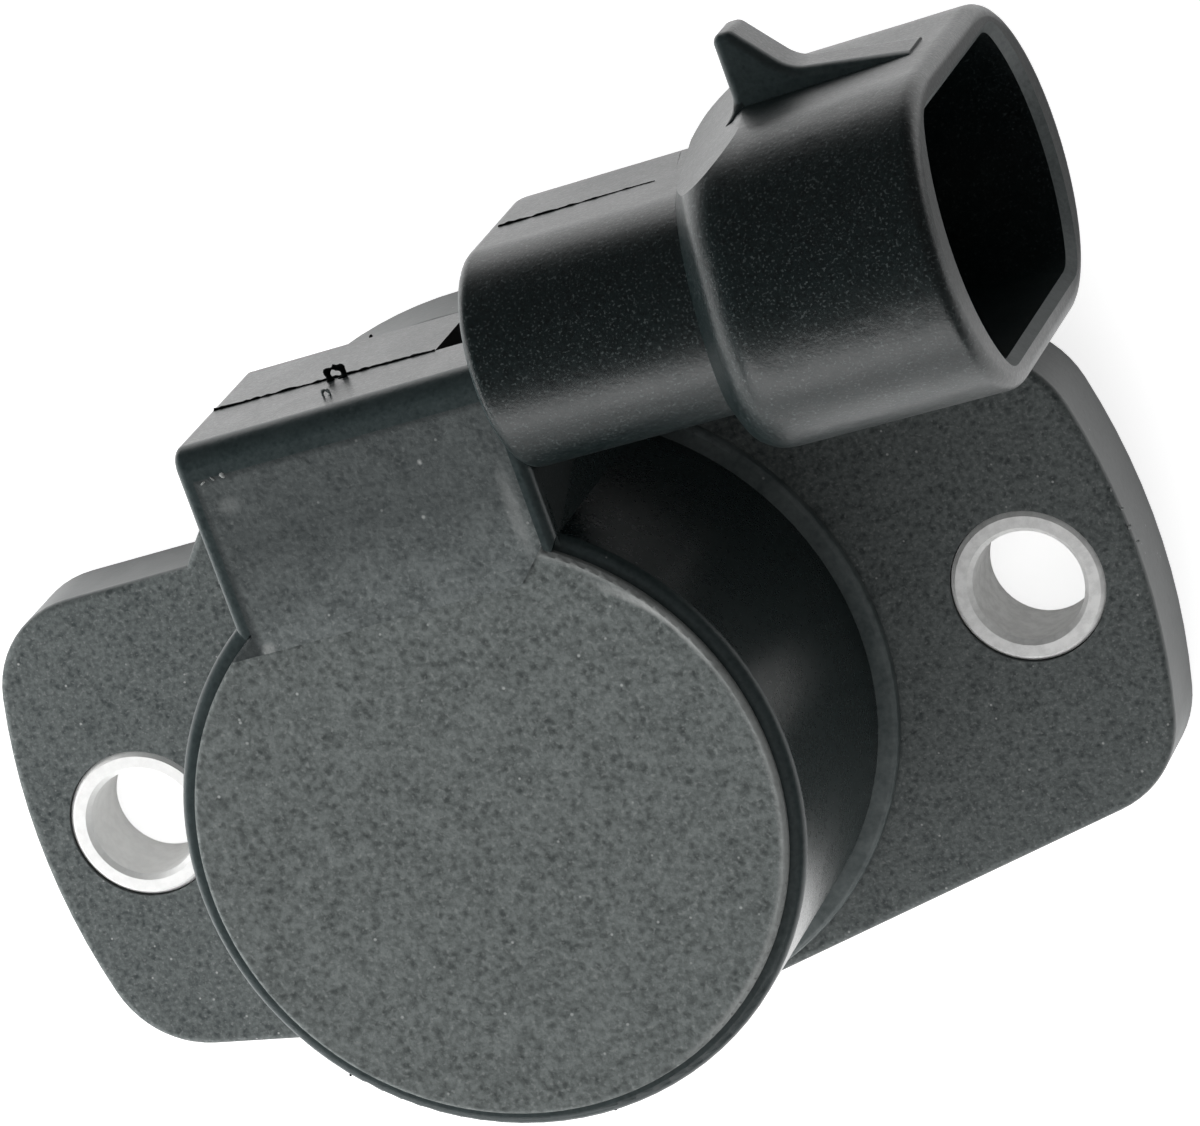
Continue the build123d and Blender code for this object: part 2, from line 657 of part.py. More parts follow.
def drive_clip():
    """Bowed leaf that presses on the flat of the throttle shaft."""
    flat_x = SHAFT_FLAT + SHAFT_CLEAR
    back_x = flat_x + CLIP_BOW + CLIP_T
    low, high = HUB_BACK_Z + CLIP_CLEAR, HUB_BACK_Z + CLIP_L
    middle = (low + high) / 2
    profile = make_face([
        ThreePointArc((back_x, low), (back_x - CLIP_BOW, middle), (back_x, high)),
        Line((back_x, high), (back_x - CLIP_T, high)),
        ThreePointArc(
            (back_x - CLIP_T, high),
            (back_x - CLIP_T - CLIP_BOW, middle),
            (back_x - CLIP_T, low),
        ),
        Line((back_x - CLIP_T, low), (back_x, low)),
    ])
    leaf = extrude(Plane.XZ.offset(-CLIP_W / 2) * profile, CLIP_W, dir=(0, -1, 0))
    return Rot(0, 0, REST_ANGLE) * leaf


def retaining_ring():
    """Open ring in the hub groove."""
    face = ring_sector(
        HUB_R - RING_GROOVE_D + RING_CLEAR,
        HUB_R + RING_REACH,
        RING_GAP_ANGLE / 2,
        360 - RING_GAP_ANGLE / 2,
    )
    return raised(face, RING_BACK_Z, RING_BACK_Z + RING_T)


def spring_washer():
    """Bowed washer between the retaining ring and the tower."""
    reach = RECESS_R - SPRING_RIM_CLEAR
    bend_r = (reach**2 + SPRING_BOW**2) / (2 * SPRING_BOW)
    shell = Cylinder(bend_r, 2 * reach, rotation=(0, 90, 0))
    shell -= Cylinder(bend_r - SPRING_T, 2 * reach, rotation=(0, 90, 0))
    shell = Pos(0, 0, SPRING_CREST_Z - bend_r) * shell
    inner = HUB_R + SPRING_SIDE_CLEAR
    return tube(reach, inner, SPRING_BACK_Z - SPRING_T, SPRING_CREST_Z) & shell


def track_board():
    """Round board that carries the printed tracks on its rear face."""
    return disc(CAVITY_R - BOARD_CLEAR, BOARD_BACK_Z, BOARD_BACK_Z + BOARD_T)


def track(radius):
    """One printed arc swept by the wiper."""
    half = TRACK_W / 2
    face = ring_sector(radius - half, radius + half, TRACK_START, TRACK_END)
    return raised(face, PRINT_BACK_Z, BOARD_BACK_Z)


def conductors():
    """Three printed conductors from the ends of the tracks to the solder pads."""
    half = CONDUCTOR_W / 2
    prints = Part()
    for side in (-1, 0, 1):
        pad_x = side * PAD_PITCH
        radius = RESISTOR_R if side else COLLECTOR_R
        pad_angle = degrees(atan2(sqrt(radius**2 - pad_x**2), pad_x))
        start = TRACK_START + 360 if side < 0 else TRACK_END
        low, high = sorted((start, pad_angle))
        print_face = ring_sector(radius - half, radius + half, low, high)
        from_y = radius * sin(radians(pad_angle)) - half
        centre_y, length = span(from_y, PAD_Y)
        print_face += Pos(pad_x, centre_y) * Rectangle(CONDUCTOR_W, length)
        print_face += Pos(pad_x, PAD_Y) * Rectangle(PAD_W, PAD_W)
        prints += raised(print_face, PRINT_BACK_Z, BOARD_BACK_Z)
    return prints


def terminal(place):
    """Stamped terminal: blade, offset lead through the neck, tail under the board."""
    half_w, half_t = BLADE_W / 2, BLADE_T / 2
    blade_z = SEAM_Z + place * PIN_PITCH
    lead_z = SEAM_Z + place * LEAD_PITCH
    tail_x = place * PAD_PITCH

    # Blade with a tapered tip, and the offset in its own plane
    tip_w = half_w / 2
    flat = make_face(Polyline(
        (BLADE_TIP_X, blade_z - tip_w),
        (BLADE_TIP_X, blade_z + tip_w),
        (BLADE_TIP_X - BLADE_TIP_L, blade_z + half_w),
        (SOCKET_FLOOR_X, blade_z + half_w),
        (JOG_END_X, lead_z + half_w),
        (JOG_END_X - BLADE_W, lead_z + half_w),
        (JOG_END_X - BLADE_W, lead_z - half_w),
        (JOG_END_X, lead_z - half_w),
        (SOCKET_FLOOR_X, blade_z - half_w),
        (BLADE_TIP_X - BLADE_TIP_L, blade_z - half_w),
        (BLADE_TIP_X, blade_z - tip_w),
    ))
    body = extrude(Plane.XZ.offset(-CONNECTOR_Y - half_t) * flat, BLADE_T, dir=(0, -1, 0))

    # Lead: steps down from the connector axis and turns towards the round body
    line = Polyline(
        (JOG_END_X - half_w, CONNECTOR_Y),
        (JOG_END_X - BLADE_W, CONNECTOR_Y),
        (JOG_END_X - BLADE_W - LEAD_JOG_L, LEAD_Y),
        (tail_x, LEAD_Y),
        (tail_x, TAIL_RISE_Y),
    )
    body += raised(trace(line, BLADE_T), lead_z - half_w, lead_z + half_w)

    # Tail in its own upright plane: riser beside the board, foot below its pad
    riser_end = TAIL_RISE_Y + BLADE_W
    foot_z = PRINT_BACK_Z - TAIL_FOOT_H
    riser_z = (min(foot_z, lead_z - half_w), max(PRINT_BACK_Z, lead_z + half_w))
    tail_span = (tail_x - half_t, tail_x + half_t)
    body += block(tail_span, (TAIL_RISE_Y, riser_end), riser_z)
    body += block(tail_span, (PAD_Y - TAIL_FOOT_BACK, riser_end), (foot_z, PRINT_BACK_Z))
    return body


def solder_joints(leads):
    """Solder round the end of each tail, under its pad."""
    joints = Part()
    for place in (-1, 0, 1):
        drop = Sphere(SOLDER_R)
        drop &= Pos(0, 0, -SOLDER_R / 2) * Box(2 * SOLDER_R, 2 * SOLDER_R, SOLDER_R)
        joints += Pos(place * PAD_PITCH, PAD_Y - TAIL_FOOT_BACK / 2, PRINT_BACK_Z) * drop
    for lead in leads:
        joints -= lead
    return joints


def main():
    """Build every piece and write one STEP file for each node."""
    leads = [terminal(place) for place in (-1, 0, 1)]
    nodes = {
        "housing": housing(leads),
        "front_cover": front_cover(),
        "left_sleeve": sleeve(-1),
        "right_sleeve": sleeve(1),
        "ground_terminal": leads[0],
        "signal_terminal": leads[1],
        "supply_terminal": leads[2],
        "track_board": track_board(),
        "resistor_track": track(RESISTOR_R),
        "collector_track": track(COLLECTOR_R),
        "conductors": conductors(),
        "solder_joints": solder_joints(leads),
        "rotor": rotor(),
        "wiper": wiper(),
        "drive_clip": drive_clip(),
        "rotor_bush": rotor_bush(),
        "rotor_seal": rotor_seal(),
        "thrust_washer": thrust_washer(),
        "spring_washer": spring_washer(),
        "retaining_ring": retaining_ring(),
        "flange_seal": flange_seal(),
    }
    os.makedirs("parts", exist_ok=True)
    for name, piece in nodes.items():
        export_step(piece, os.path.join("parts", name + ".step"))


main()
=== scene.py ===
"""Looks of a throttle position sensor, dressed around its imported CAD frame."""

import logging
import math
import random
from dataclasses import dataclass, field
from enum import Enum
from typing import Any, Dict, Iterable, List, Sequence, Set, Tuple

import bmesh
import bpy
from bmesh.types import BMesh, BMFace
from bpy.types import Material, Node, NodeSocket, NodeTree, Object
from mathutils import Matrix, Vector, noise

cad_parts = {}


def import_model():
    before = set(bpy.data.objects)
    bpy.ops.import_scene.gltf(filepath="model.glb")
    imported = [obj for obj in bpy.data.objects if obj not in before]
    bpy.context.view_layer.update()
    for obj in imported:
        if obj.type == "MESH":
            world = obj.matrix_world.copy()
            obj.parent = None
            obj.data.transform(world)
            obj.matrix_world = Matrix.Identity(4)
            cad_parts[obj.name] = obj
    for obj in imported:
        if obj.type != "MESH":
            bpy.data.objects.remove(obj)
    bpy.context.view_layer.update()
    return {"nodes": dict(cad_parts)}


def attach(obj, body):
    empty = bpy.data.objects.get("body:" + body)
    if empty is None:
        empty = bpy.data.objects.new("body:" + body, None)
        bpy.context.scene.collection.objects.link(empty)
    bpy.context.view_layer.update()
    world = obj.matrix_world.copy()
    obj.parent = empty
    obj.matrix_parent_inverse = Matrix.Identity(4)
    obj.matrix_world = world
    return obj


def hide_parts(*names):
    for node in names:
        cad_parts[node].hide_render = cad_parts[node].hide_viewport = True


LOG = logging.getLogger("throttle_sensor")
MM = 0.001
MERGE_MM = 0.0005
NEAR_MM = 0.01
FLAT_ANGLE = 0.0005
FLAT_FACES = 6
NORMAL_WEIGHT = 50
SHARP_DEGREES = 32.0
WHITE = (1.0, 1.0, 1.0, 1.0)
ORIGIN = (0.0, 0.0, 0.0)
FIXED_BODY = "body"
TURNING_BODY = "rotor"

Colour = Tuple[float, float, float]
Point = Tuple[float, float, float]
Span = Tuple[float, float]
Wave = Tuple[float, float, float]


class NodeKind(Enum):
    """Shader node types used by the finishes."""

    COORDINATES = "ShaderNodeTexCoord"
    MAPPING = "ShaderNodeMapping"
    NOISE = "ShaderNodeTexNoise"
    VORONOI = "ShaderNodeTexVoronoi"
    WAVE = "ShaderNodeTexWave"
    RANGE = "ShaderNodeMapRange"
    MATH = "ShaderNodeMath"
    MIX = "ShaderNodeMix"
    BUMP = "ShaderNodeBump"
    GROUP = "ShaderNodeGroup"
    SEPARATE = "ShaderNodeSeparateXYZ"
    VECTOR_MATH = "ShaderNodeVectorMath"
    LIGHT_PATH = "ShaderNodeLightPath"
    OCCLUSION = "ShaderNodeAmbientOcclusion"
    EMISSION = "ShaderNodeEmission"
    DIFFUSE = "ShaderNodeBsdfDiffuse"
    ADD_SHADER = "ShaderNodeAddShader"
    MIX_SHADER = "ShaderNodeMixShader"
    BACKGROUND = "ShaderNodeBackground"
    WORLD_OUTPUT = "ShaderNodeOutputWorld"
    PRINCIPLED = "ShaderNodeBsdfPrincipled"
    OUTPUT = "ShaderNodeOutputMaterial"


class GroupName(Enum):
    """Shader node groups that several finishes share, by the name of the method that builds them."""

    SPARK_GRAIN = "spark_grain"
    HANDLING = "handling_marks"
    TURNING = "turning_marks"
    PATCH = "worn_patch"


class Wiring:
    """Short calls that add and join the nodes of one node tree."""

    def __init__(self, tree: NodeTree) -> None:
        """Keep the tree that the calls work on."""
        self.tree = tree

    @classmethod
    def fresh(cls, owner: Any) -> "Wiring":
        """Empty the node tree of a material or a world.

        Args:
            owner: The material or the world.

        Returns:
            The wiring of its tree.
        """
        owner.use_nodes = True
        owner.node_tree.nodes.clear()
        return cls(owner.node_tree)

    def add(self, kind: NodeKind, **settings: Any) -> Node:
        """Add a node.

        Args:
            kind: Type of the node.
            settings: Properties set on the node itself.

        Returns:
            The new node.
        """
        node = self.tree.nodes.new(kind.value)
        for name, value in settings.items():
            setattr(node, name, value)
        return node

    def join(self, source: Any, target: Any) -> None:
        """Link an output socket to an input socket."""
        self.tree.links.new(source, target)

    def feed(self, node: Node, **values: Any) -> Node:
        """Give inputs a plain value or a link.

        Args:
            node: Node whose inputs are set.
            values: Input names, with underscores for spaces, and values or sockets.

        Returns:
            The same node.
        """
        for name, value in values.items():
            self.give(node.inputs[name.replace("_", " ")], value)
        return node

    def give(self, socket: Any, value: Any) -> None:
        """Give an input socket a value or a link.

        Args:
            socket: The input socket.
            value: A socket to link, a plain value, or a colour of three values.
        """
        if isinstance(value, NodeSocket):
            self.join(value, socket)
        elif socket.type == "RGBA" and len(value) == 3:
            socket.default_value = (*value, 1.0)
        else:
            socket.default_value = value

    def math(self, operation: str, first: Any, second: Any = 0.0, clamp: bool = False) -> Any:
        """Add a Math node.

        Args:
            operation: Name of the operation.
            first: First value or socket.
            second: Second value or socket.
            clamp: Whether the result is held between 0 and 1.

        Returns:
            The result's socket.
        """
        node = self.add(NodeKind.MATH, operation=operation, use_clamp=clamp)
        for socket, value in zip(node.inputs, (first, second)):
            self.give(socket, value)
        return node.outputs[0]

    def times(self, first: Any, second: Any) -> Any:
        """Multiply two values or sockets."""
        return self.math("MULTIPLY", first, second)

    def plus(self, first: Any, second: Any, clamp: bool = False) -> Any:
        """Add two values or sockets, held between 0 and 1 if clamp is set."""
        return self.math("ADD", first, second, clamp)

    def ramp(self, value: Any, low: float, high: float, start: float = 0.0, end: float = 1.0) -> Any:
        """Map a stretch of a value to another, with smooth ends.

        Args:
            value: Socket to map.
            low: Where the stretch begins.
            high: Where it ends.
            start: Result at its beginning.
            end: Result at its end.

        Returns:
            The result's socket.
        """
        node = self.add(NodeKind.RANGE, interpolation_type="SMOOTHSTEP")
        self.feed(node, Value=value, From_Min=low, From_Max=high, To_Min=start, To_Max=end)
        return node.outputs["Result"]

    def blend(self, share: Any, first: Any, second: Any) -> Any:
        """Mix two colours.

        Args:
            share: Share of the second colour, as a value or a socket.
            first: First colour or socket.
            second: Second colour or socket.

        Returns:
            The mixed colour's socket.
        """
        node = self.add(NodeKind.MIX, data_type="RGBA")
        sockets = (node.inputs[0], node.inputs[6], node.inputs[7])
        for socket, value in zip(sockets, (share, first, second)):
            self.give(socket, value)
        return node.outputs[2]

    def noise(
        self, place: Any, scale: Any, detail: float, roughness: float = 0.5, distortion: float = 0.0
    ) -> Any:
        """Add a Noise Texture node.

        Args:
            place: Coordinates that it reads.
            scale: Its scale, as a value or a socket.
            detail: Its layers of finer noise.
            roughness: Share of the finer layers.
            distortion: How far it is drawn out.

        Returns:
            The socket of its value.
        """
        node = self.feed(self.add(NodeKind.NOISE), Vector=place, Scale=scale, Detail=detail)
        self.feed(node, Roughness=roughness, Distortion=distortion)
        return node.outputs["Fac"]

    def split(self, place: Any) -> Any:
        """Add a Separate XYZ node.

        Args:
            place: Socket of the vector.

        Returns:
            The sockets of its X, Y and Z.
        """
        node = self.add(NodeKind.SEPARATE)
        self.join(place, node.inputs[0])
        return node.outputs


class GroupShop:
    """Builds each shared shader node group once.

    SPARK_SCALES holds the scales of pits, clouds, dots and sand, as shares of the grain's own.
    DUST_SCALE is the dust's scale as a multiple of the smudges'.
    TONE_SHARES and HEIGHT_SHARES are the parts that grain and pits have in shade and relief.
    Each span holds the values between which a pattern goes from none to full, or back.
    """

    SPARK_SCALES = (0.52, 0.16, 0.34, 1.25)
    DUST_SCALE = 14.0
    TONE_SHARES = (0.6, 0.4)
    HEIGHT_SHARES = (0.55, 0.45)
    GRAIN_SPAN = (0.3, 0.7)
    PIT_SPAN = (0.12, 0.62)
    SPECK_SPAN = (0.05, 0.13)
    GRIT_SPAN = (0.55, 0.76)
    SMUDGE_SPAN = (0.35, 0.68)
    DUST_SPAN = (0.56, 0.78)
    BLOTCH_SPAN = (0.36, 0.66)
    PATCH_SPAN = (0.25, 1.0)

    def __init__(self) -> None:
        """Start with no group built."""
        self.built: Dict[GroupName, NodeTree] = {}

    def get(self, name: GroupName) -> NodeTree:
        """Give a group, building it at its first use.

        Args:
            name: Which group.

        Returns:
            The group.
        """
        if name not in self.built:
            self.built[name] = getattr(self, name.value)()
        return self.built[name]

    @staticmethod
    def frame(
        name: GroupName, inputs: Dict[str, float], outputs: Iterable[str]
    ) -> Tuple[NodeTree, Wiring, Any, Any]:
        """Make an empty group with a vector input, value inputs and value outputs.

        Args:
            name: Name of the group.
            inputs: Value inputs and their defaults.
            outputs: Names of the value outputs.

        Returns:
            The group, its wiring, and its input and output nodes.
        """
        tree = bpy.data.node_groups.new(name.value, "ShaderNodeTree")
        tree.interface.new_socket("Vector", in_out="INPUT", socket_type="NodeSocketVector")
        for label, default in inputs.items():
            socket = tree.interface.new_socket(label, in_out="INPUT", socket_type="NodeSocketFloat")
            socket.default_value = default
        for label in outputs:
            tree.interface.new_socket(label, in_out="OUTPUT", socket_type="NodeSocketFloat")
        entry = tree.nodes.new("NodeGroupInput")
        leave = tree.nodes.new("NodeGroupOutput")
        return tree, Wiring(tree), entry, leave

    def spark_grain(self) -> NodeTree:
        """Eroded mould texture: mottled shade, pits in relief, sandy grit and a few light specks.

        Returns:
            The group.
        """
        tree, wire, entry, leave = self.frame(
            GroupName.SPARK_GRAIN,
            {"Scale": 2600.0, "Mottle": 0.5, "Specks": 0.5},
            ("Shade", "Height", "Speck", "Grit"),
        )
        vector, scale, mottle = (entry.outputs[label] for label in ("Vector", "Scale", "Mottle"))
        pit_scale, cloud_scale, dot_scale, sand_scale = (
            wire.times(scale, share) for share in self.SPARK_SCALES
        )
        pits = wire.add(NodeKind.VORONOI, feature="SMOOTH_F1")
        wire.feed(pits, Vector=vector, Scale=pit_scale, Smoothness=0.35)
        grain = wire.ramp(wire.noise(vector, scale, 3.0, 0.62), *self.GRAIN_SPAN)
        pit = wire.ramp(pits.outputs["Distance"], *self.PIT_SPAN)
        cloud = wire.ramp(wire.noise(vector, cloud_scale, 3.0, 0.6), *self.GRAIN_SPAN)
        rough_tone, height = (
            wire.plus(wire.times(grain, fine), wire.times(pit, deep))
            for fine, deep in (self.TONE_SHARES, self.HEIGHT_SHARES)
        )
        fine_tone = wire.times(rough_tone, wire.math("SUBTRACT", 1.0, mottle))
        shade = wire.plus(fine_tone, wire.times(cloud, mottle))
        dots = wire.feed(wire.add(NodeKind.VORONOI), Vector=vector, Scale=dot_scale, Randomness=1.0)
        near = wire.ramp(dots.outputs["Distance"], *self.SPECK_SPAN, 1.0, 0.0)
        lot = wire.split(dots.outputs["Color"])[0]
        chosen = wire.math("GREATER_THAN", wire.plus(lot, entry.outputs["Specks"]), 1.0)
        grit = wire.ramp(wire.noise(vector, sand_scale, 1.5), *self.GRIT_SPAN)
        wire.feed(leave, Shade=shade, Height=height, Speck=wire.times(near, chosen), Grit=grit)
        return tree

    def handling_marks(self) -> NodeTree:
        """Smudges and soft streaks that change how shiny a surface is.

        Returns:
            The group.
        """
        tree, wire, entry, leave = self.frame(
            GroupName.HANDLING, {"Scale": 220.0, "Contrast": 0.5}, ("Smudge", "Dust")
        )
        vector, scale = entry.outputs["Vector"], entry.outputs["Scale"]
        soft = wire.ramp(wire.noise(vector, scale, 5.0, 0.66, 0.9), *self.SMUDGE_SPAN)
        dust_scale = wire.times(scale, self.DUST_SCALE)
        fine = wire.ramp(wire.noise(vector, dust_scale, 2.0, 0.7), *self.DUST_SPAN)
        smudge = wire.times(soft, entry.outputs["Contrast"])
        wire.feed(leave, Smudge=smudge, Dust=wire.times(fine, soft))
        return tree

    def turning_marks(self) -> NodeTree:
        """Fine rings left by a lathe tool, with blotches of dull metal.

        Returns:
            The group.
        """
        tree, wire, entry, leave = self.frame(
            GroupName.TURNING, {"Rings": 9000.0, "Blotches": 900.0}, ("Ring", "Blotch")
        )
        vector = entry.outputs["Vector"]
        rings = wire.add(NodeKind.WAVE, wave_type="RINGS", rings_direction="Z")
        wire.feed(rings, Vector=vector, Scale=entry.outputs["Rings"])
        wire.feed(rings, Distortion=1.2, Detail=2.0, Detail_Scale=0.6)
        patch = wire.noise(vector, entry.outputs["Blotches"], 5.0, 0.68)
        blotch = wire.ramp(patch, *self.BLOTCH_SPAN)
        wire.feed(leave, Ring=rings.outputs["Fac"], Blotch=blotch)
        return tree

    def worn_patch(self) -> NodeTree:
        """Soft round spot about the origin, frayed by noise.

        Returns:
            The group.
        """
        tree, wire, entry, leave = self.frame(GroupName.PATCH, {"Fray": 0.5}, ("Mask",))
        vector = entry.outputs["Vector"]
        away = wire.add(NodeKind.VECTOR_MATH, operation="LENGTH")
        wire.join(vector, away.inputs[0])
        swing = wire.math("SUBTRACT", wire.noise(vector, 2.5, 3.0), 0.5)
        reach = wire.plus(away.outputs["Value"], wire.times(swing, entry.outputs["Fray"]))
        wire.feed(leave, Mask=wire.ramp(reach, *self.PATCH_SPAN, 1.0, 0.0))
        return tree


GROUPS = GroupShop()


@dataclass(frozen=True)
class Finish:
    """A surface finish. Each kind of finish wires its own base colour and relief."""

    name: str
    colour: Colour
    roughness: float
    metallic: float = 0.0
    specular: float = 0.5

    def material(self) -> Material:
        """Give the finish's material, building it at its first use.

        Returns:
            The material.
        """
        known = bpy.data.materials.get(self.name)
        if known is not None:
            return known
        made = bpy.data.materials.new(self.name)
        wire = Wiring.fresh(made)
        shader = wire.add(NodeKind.PRINCIPLED)
        wire.feed(shader, Metallic=self.metallic, Specular_IOR_Level=self.specular)
        leave = wire.add(NodeKind.OUTPUT)
        wire.join(shader.outputs["BSDF"], leave.inputs["Surface"])
        coordinates = wire.add(NodeKind.COORDINATES)
        self.dress(wire, shader, coordinates.outputs["Object"])
        made.diffuse_color = (*self.colour, 1.0)
        return made

    def dress(self, wire: Wiring, shader: Node, place: Any) -> None:
        """Wire colour, roughness and relief.

        Args:
            wire: Wiring of the material's tree.
            shader: The material's Principled node.
            place: Object coordinates.
        """
        raise NotImplementedError

    @staticmethod
    def group(wire: Wiring, name: GroupName, place: Any, **values: float) -> Node:
        """Place a shared group.

        Args:
            wire: Wiring of the material's tree.
            name: Which group.
            place: Coordinates that it reads.
            values: Values of its inputs.

        Returns:
            The group's node.
        """
        node = wire.add(NodeKind.GROUP, node_tree=GROUPS.get(name))
        return wire.feed(node, Vector=place, **values)

    @staticmethod
    def relief(wire: Wiring, shader: Node, height: Any, strength: float, depth_mm: float) -> None:
        """Bump the surface by a height.

        Args:
            wire: Wiring of the material's tree.
            shader: The material's Principled node.
            height: Socket of the height, 0 to 1.
            strength: Strength of the bump.
            depth_mm: Depth of the relief in millimetres.
        """
        bump = wire.feed(wire.add(NodeKind.BUMP), Strength=strength, Distance=depth_mm * MM, Height=height)
        wire.join(bump.outputs["Normal"], shader.inputs["Normal"])


@dataclass(frozen=True)
class Patch:
    """A scuffed or faded place on a finish."""

    centre_mm: Point
    reach_mm: Point
    colour: Colour
    share: float = 0.8


FACE_SCUFFS = (
    Patch((7.15, 15.4, 23.1), (0.6, 3.2, 1.0), (0.19, 0.2, 0.198), 0.5),
    Patch((-6.8, 19.5, 23.1), (0.9, 0.6, 1.0), (0.17, 0.18, 0.178), 0.4),
    Patch((-7.5, 11.9, 23.1), (0.5, 0.45, 1.0), (0.26, 0.27, 0.265), 0.6),
    Patch((3.4, 19.0, 23.1), (0.16, 0.2, 1.0), (0.26, 0.27, 0.265), 0.8),
    Patch((2.6, 16.3, 23.1), (0.14, 0.14, 1.0), (0.26, 0.27, 0.265), 0.8),
)


@dataclass(frozen=True)
class MouldedFinish(Finish):
    """Moulded plastic with a spark-eroded or a smoother satin surface."""

    light: Colour = (0.1, 0.1, 0.1)
    speck: Colour = (0.3, 0.3, 0.3)
    grain_mm: float = 0.38
    mottle: float = 0.5
    specks: float = 0.3
    grit: float = 0.0
    relief_mm: float = 0.03
    relief_strength: float = 0.5
    roughness_swing: float = 0.08
    smudge: float = 0.4
    dust_share: float = 0.35
    patches: Tuple[Patch, ...] = ()

    def dress(self, wire: Wiring, shader: Node, place: Any) -> None:
        """Wire mottled colour, specks, uneven sheen and pits.

        Args:
            wire: Wiring of the material's tree.
            shader: The material's Principled node.
            place: Object coordinates.
        """
        grain = self.group(
            wire,
            GroupName.SPARK_GRAIN,
            place,
            Scale=1.0 / (self.grain_mm * MM),
            Mottle=self.mottle,
            Specks=self.specks,
        )
        marks = self.group(wire, GroupName.HANDLING, place, Contrast=self.smudge)
        tone = wire.blend(grain.outputs["Shade"], self.colour, self.light)
        tone = wire.blend(wire.times(grain.outputs["Grit"], self.grit), tone, self.speck)
        dusty = wire.times(marks.outputs["Dust"], self.smudge)
        tone = wire.blend(wire.times(dusty, self.dust_share), tone, self.speck)
        tone = wire.blend(grain.outputs["Speck"], tone, self.speck)
        wire.join(self.tone_wear_and_highlight(wire, place, tone), shader.inputs["Base Color"])
        swing = wire.times(marks.outputs["Smudge"], self.roughness_swing)
        uneven = wire.plus(swing, self.roughness)
        grainy = wire.times(grain.outputs["Shade"], self.roughness_swing)
        wire.join(wire.plus(uneven, grainy, clamp=True), shader.inputs["Roughness"])
        self.relief(wire, shader, grain.outputs["Height"], self.relief_strength, self.relief_mm)

    def tone_wear_and_highlight(self, wire: Wiring, place: Any, tone: Any) -> Any:
        """Lay the patches over a colour.

        Args:
            wire: Wiring of the material's tree.
            place: Object coordinates.
            tone: Socket of the colour.

        Returns:
            The socket of the patched colour.
        """
        for patch in self.patches:
            local = wire.add(NodeKind.MAPPING, vector_type="TEXTURE")
            centre, reach = Vector(patch.centre_mm) * MM, Vector(patch.reach_mm) * MM
            wire.feed(local, Vector=place, Location=centre, Scale=reach)
            spot = self.group(wire, GroupName.PATCH, local.outputs["Vector"])
            tone = wire.blend(wire.times(spot.outputs["Mask"], patch.share), tone, patch.colour)
        return tone


@dataclass(frozen=True)
class FadedFinish(MouldedFinish):
    """Moulded face that darkens towards its top and along its borders."""

    shade: Colour = (0.012, 0.017, 0.018)
    foot_y: float = 12.5
    top_y: float = 21.1
    rise: float = 4.6
    left_x: float = -8.15
    border: float = 0.75
    rise_share: float = 0.5
    border_share: float = 0.85

    def tone_wear_and_highlight(self, wire: Wiring, place: Any, tone: Any) -> Any:
        """Darken the colour, then lay the patches over it.

        Args:
            wire: Wiring of the material's tree.
            place: Object coordinates.
            tone: Socket of the colour.

        Returns:
            The socket of the darkened and patched colour.
        """
        across, along, _ = wire.split(place)
        foot, head, side = self.foot_y * MM, self.top_y * MM, self.left_x * MM
        border = self.border * MM
        rise = wire.ramp(along, foot, foot + self.rise * MM, 0.0, self.rise_share)
        top = wire.ramp(along, head - border, head, 0.0, self.border_share)
        left = wire.ramp(across, side, side + border, self.border_share, 0.0)
        edge = wire.math("MAXIMUM", top, left)
        tone = wire.blend(wire.math("MAXIMUM", rise, edge), tone, self.shade)
        return super().tone_wear_and_highlight(wire, place, tone)


@dataclass(frozen=True)
class RimHighlightFinish(MouldedFinish):
    """Moulded disc with painted highlights: a light streak near its rim and a lighter edge on its right
    side.
    """

    # Painted highlights: the streak and the lighter right side of the edge stand in for light that the
    # rim's rounding catches.
    worn: Colour = (0.33, 0.34, 0.335)
    streak_degrees: Tuple[float, float, float, float] = (8.0, 31.0, 35.0, 52.0)
    streak_radii: Span = (15.02, 14.42)
    streak_half_w: Span = (0.1, 0.36)
    streak_share: float = 0.85
    edge_radii: Span = (14.65, 15.05)
    edge_x: Span = (4.0, 9.0)
    edge_share: float = 0.5

    def tone_wear_and_highlight(self, wire: Wiring, place: Any, tone: Any) -> Any:
        """Paint highlights: lighten the colour along the streak and along the right side of the edge.

        Args:
            wire: Wiring of the material's tree.
            place: Object coordinates.
            tone: Socket of the colour.

        Returns:
            The socket of the colour with the painted highlights.
        """
        across, along, _ = wire.split(place)
        squares = (wire.times(value, value) for value in (across, along))
        radius = wire.math("SQRT", wire.plus(*squares))
        angle = wire.math("ARCTAN2", along, across)
        first, rise, fall, last = [math.radians(value) for value in self.streak_degrees]
        outer, inner = (value * MM for value in self.streak_radii)
        core, fringe = (value * MM for value in self.streak_half_w)
        highlight_from, highlight_to = (value * MM for value in self.edge_radii)
        right_from, right_to = (value * MM for value in self.edge_x)
        # Painted highlight streak along the rim's rounding.
        track = wire.ramp(angle, rise, last, outer, inner)
        off = wire.math("ABSOLUTE", wire.math("SUBTRACT", radius, track))
        band = wire.ramp(off, core, fringe, 1.0, 0.0)
        reach = wire.times(wire.ramp(angle, first, rise), wire.ramp(angle, fall, last, 1.0, 0.0))
        streak = wire.times(wire.times(band, reach), self.streak_share)
        # Painted highlight along the right side of the disc's edge.
        edge = wire.ramp(radius, highlight_from, highlight_to, 0.0, self.edge_share)
        right = wire.times(edge, wire.ramp(across, right_from, right_to))
        return wire.blend(wire.math("MAXIMUM", streak, right), tone, self.worn)


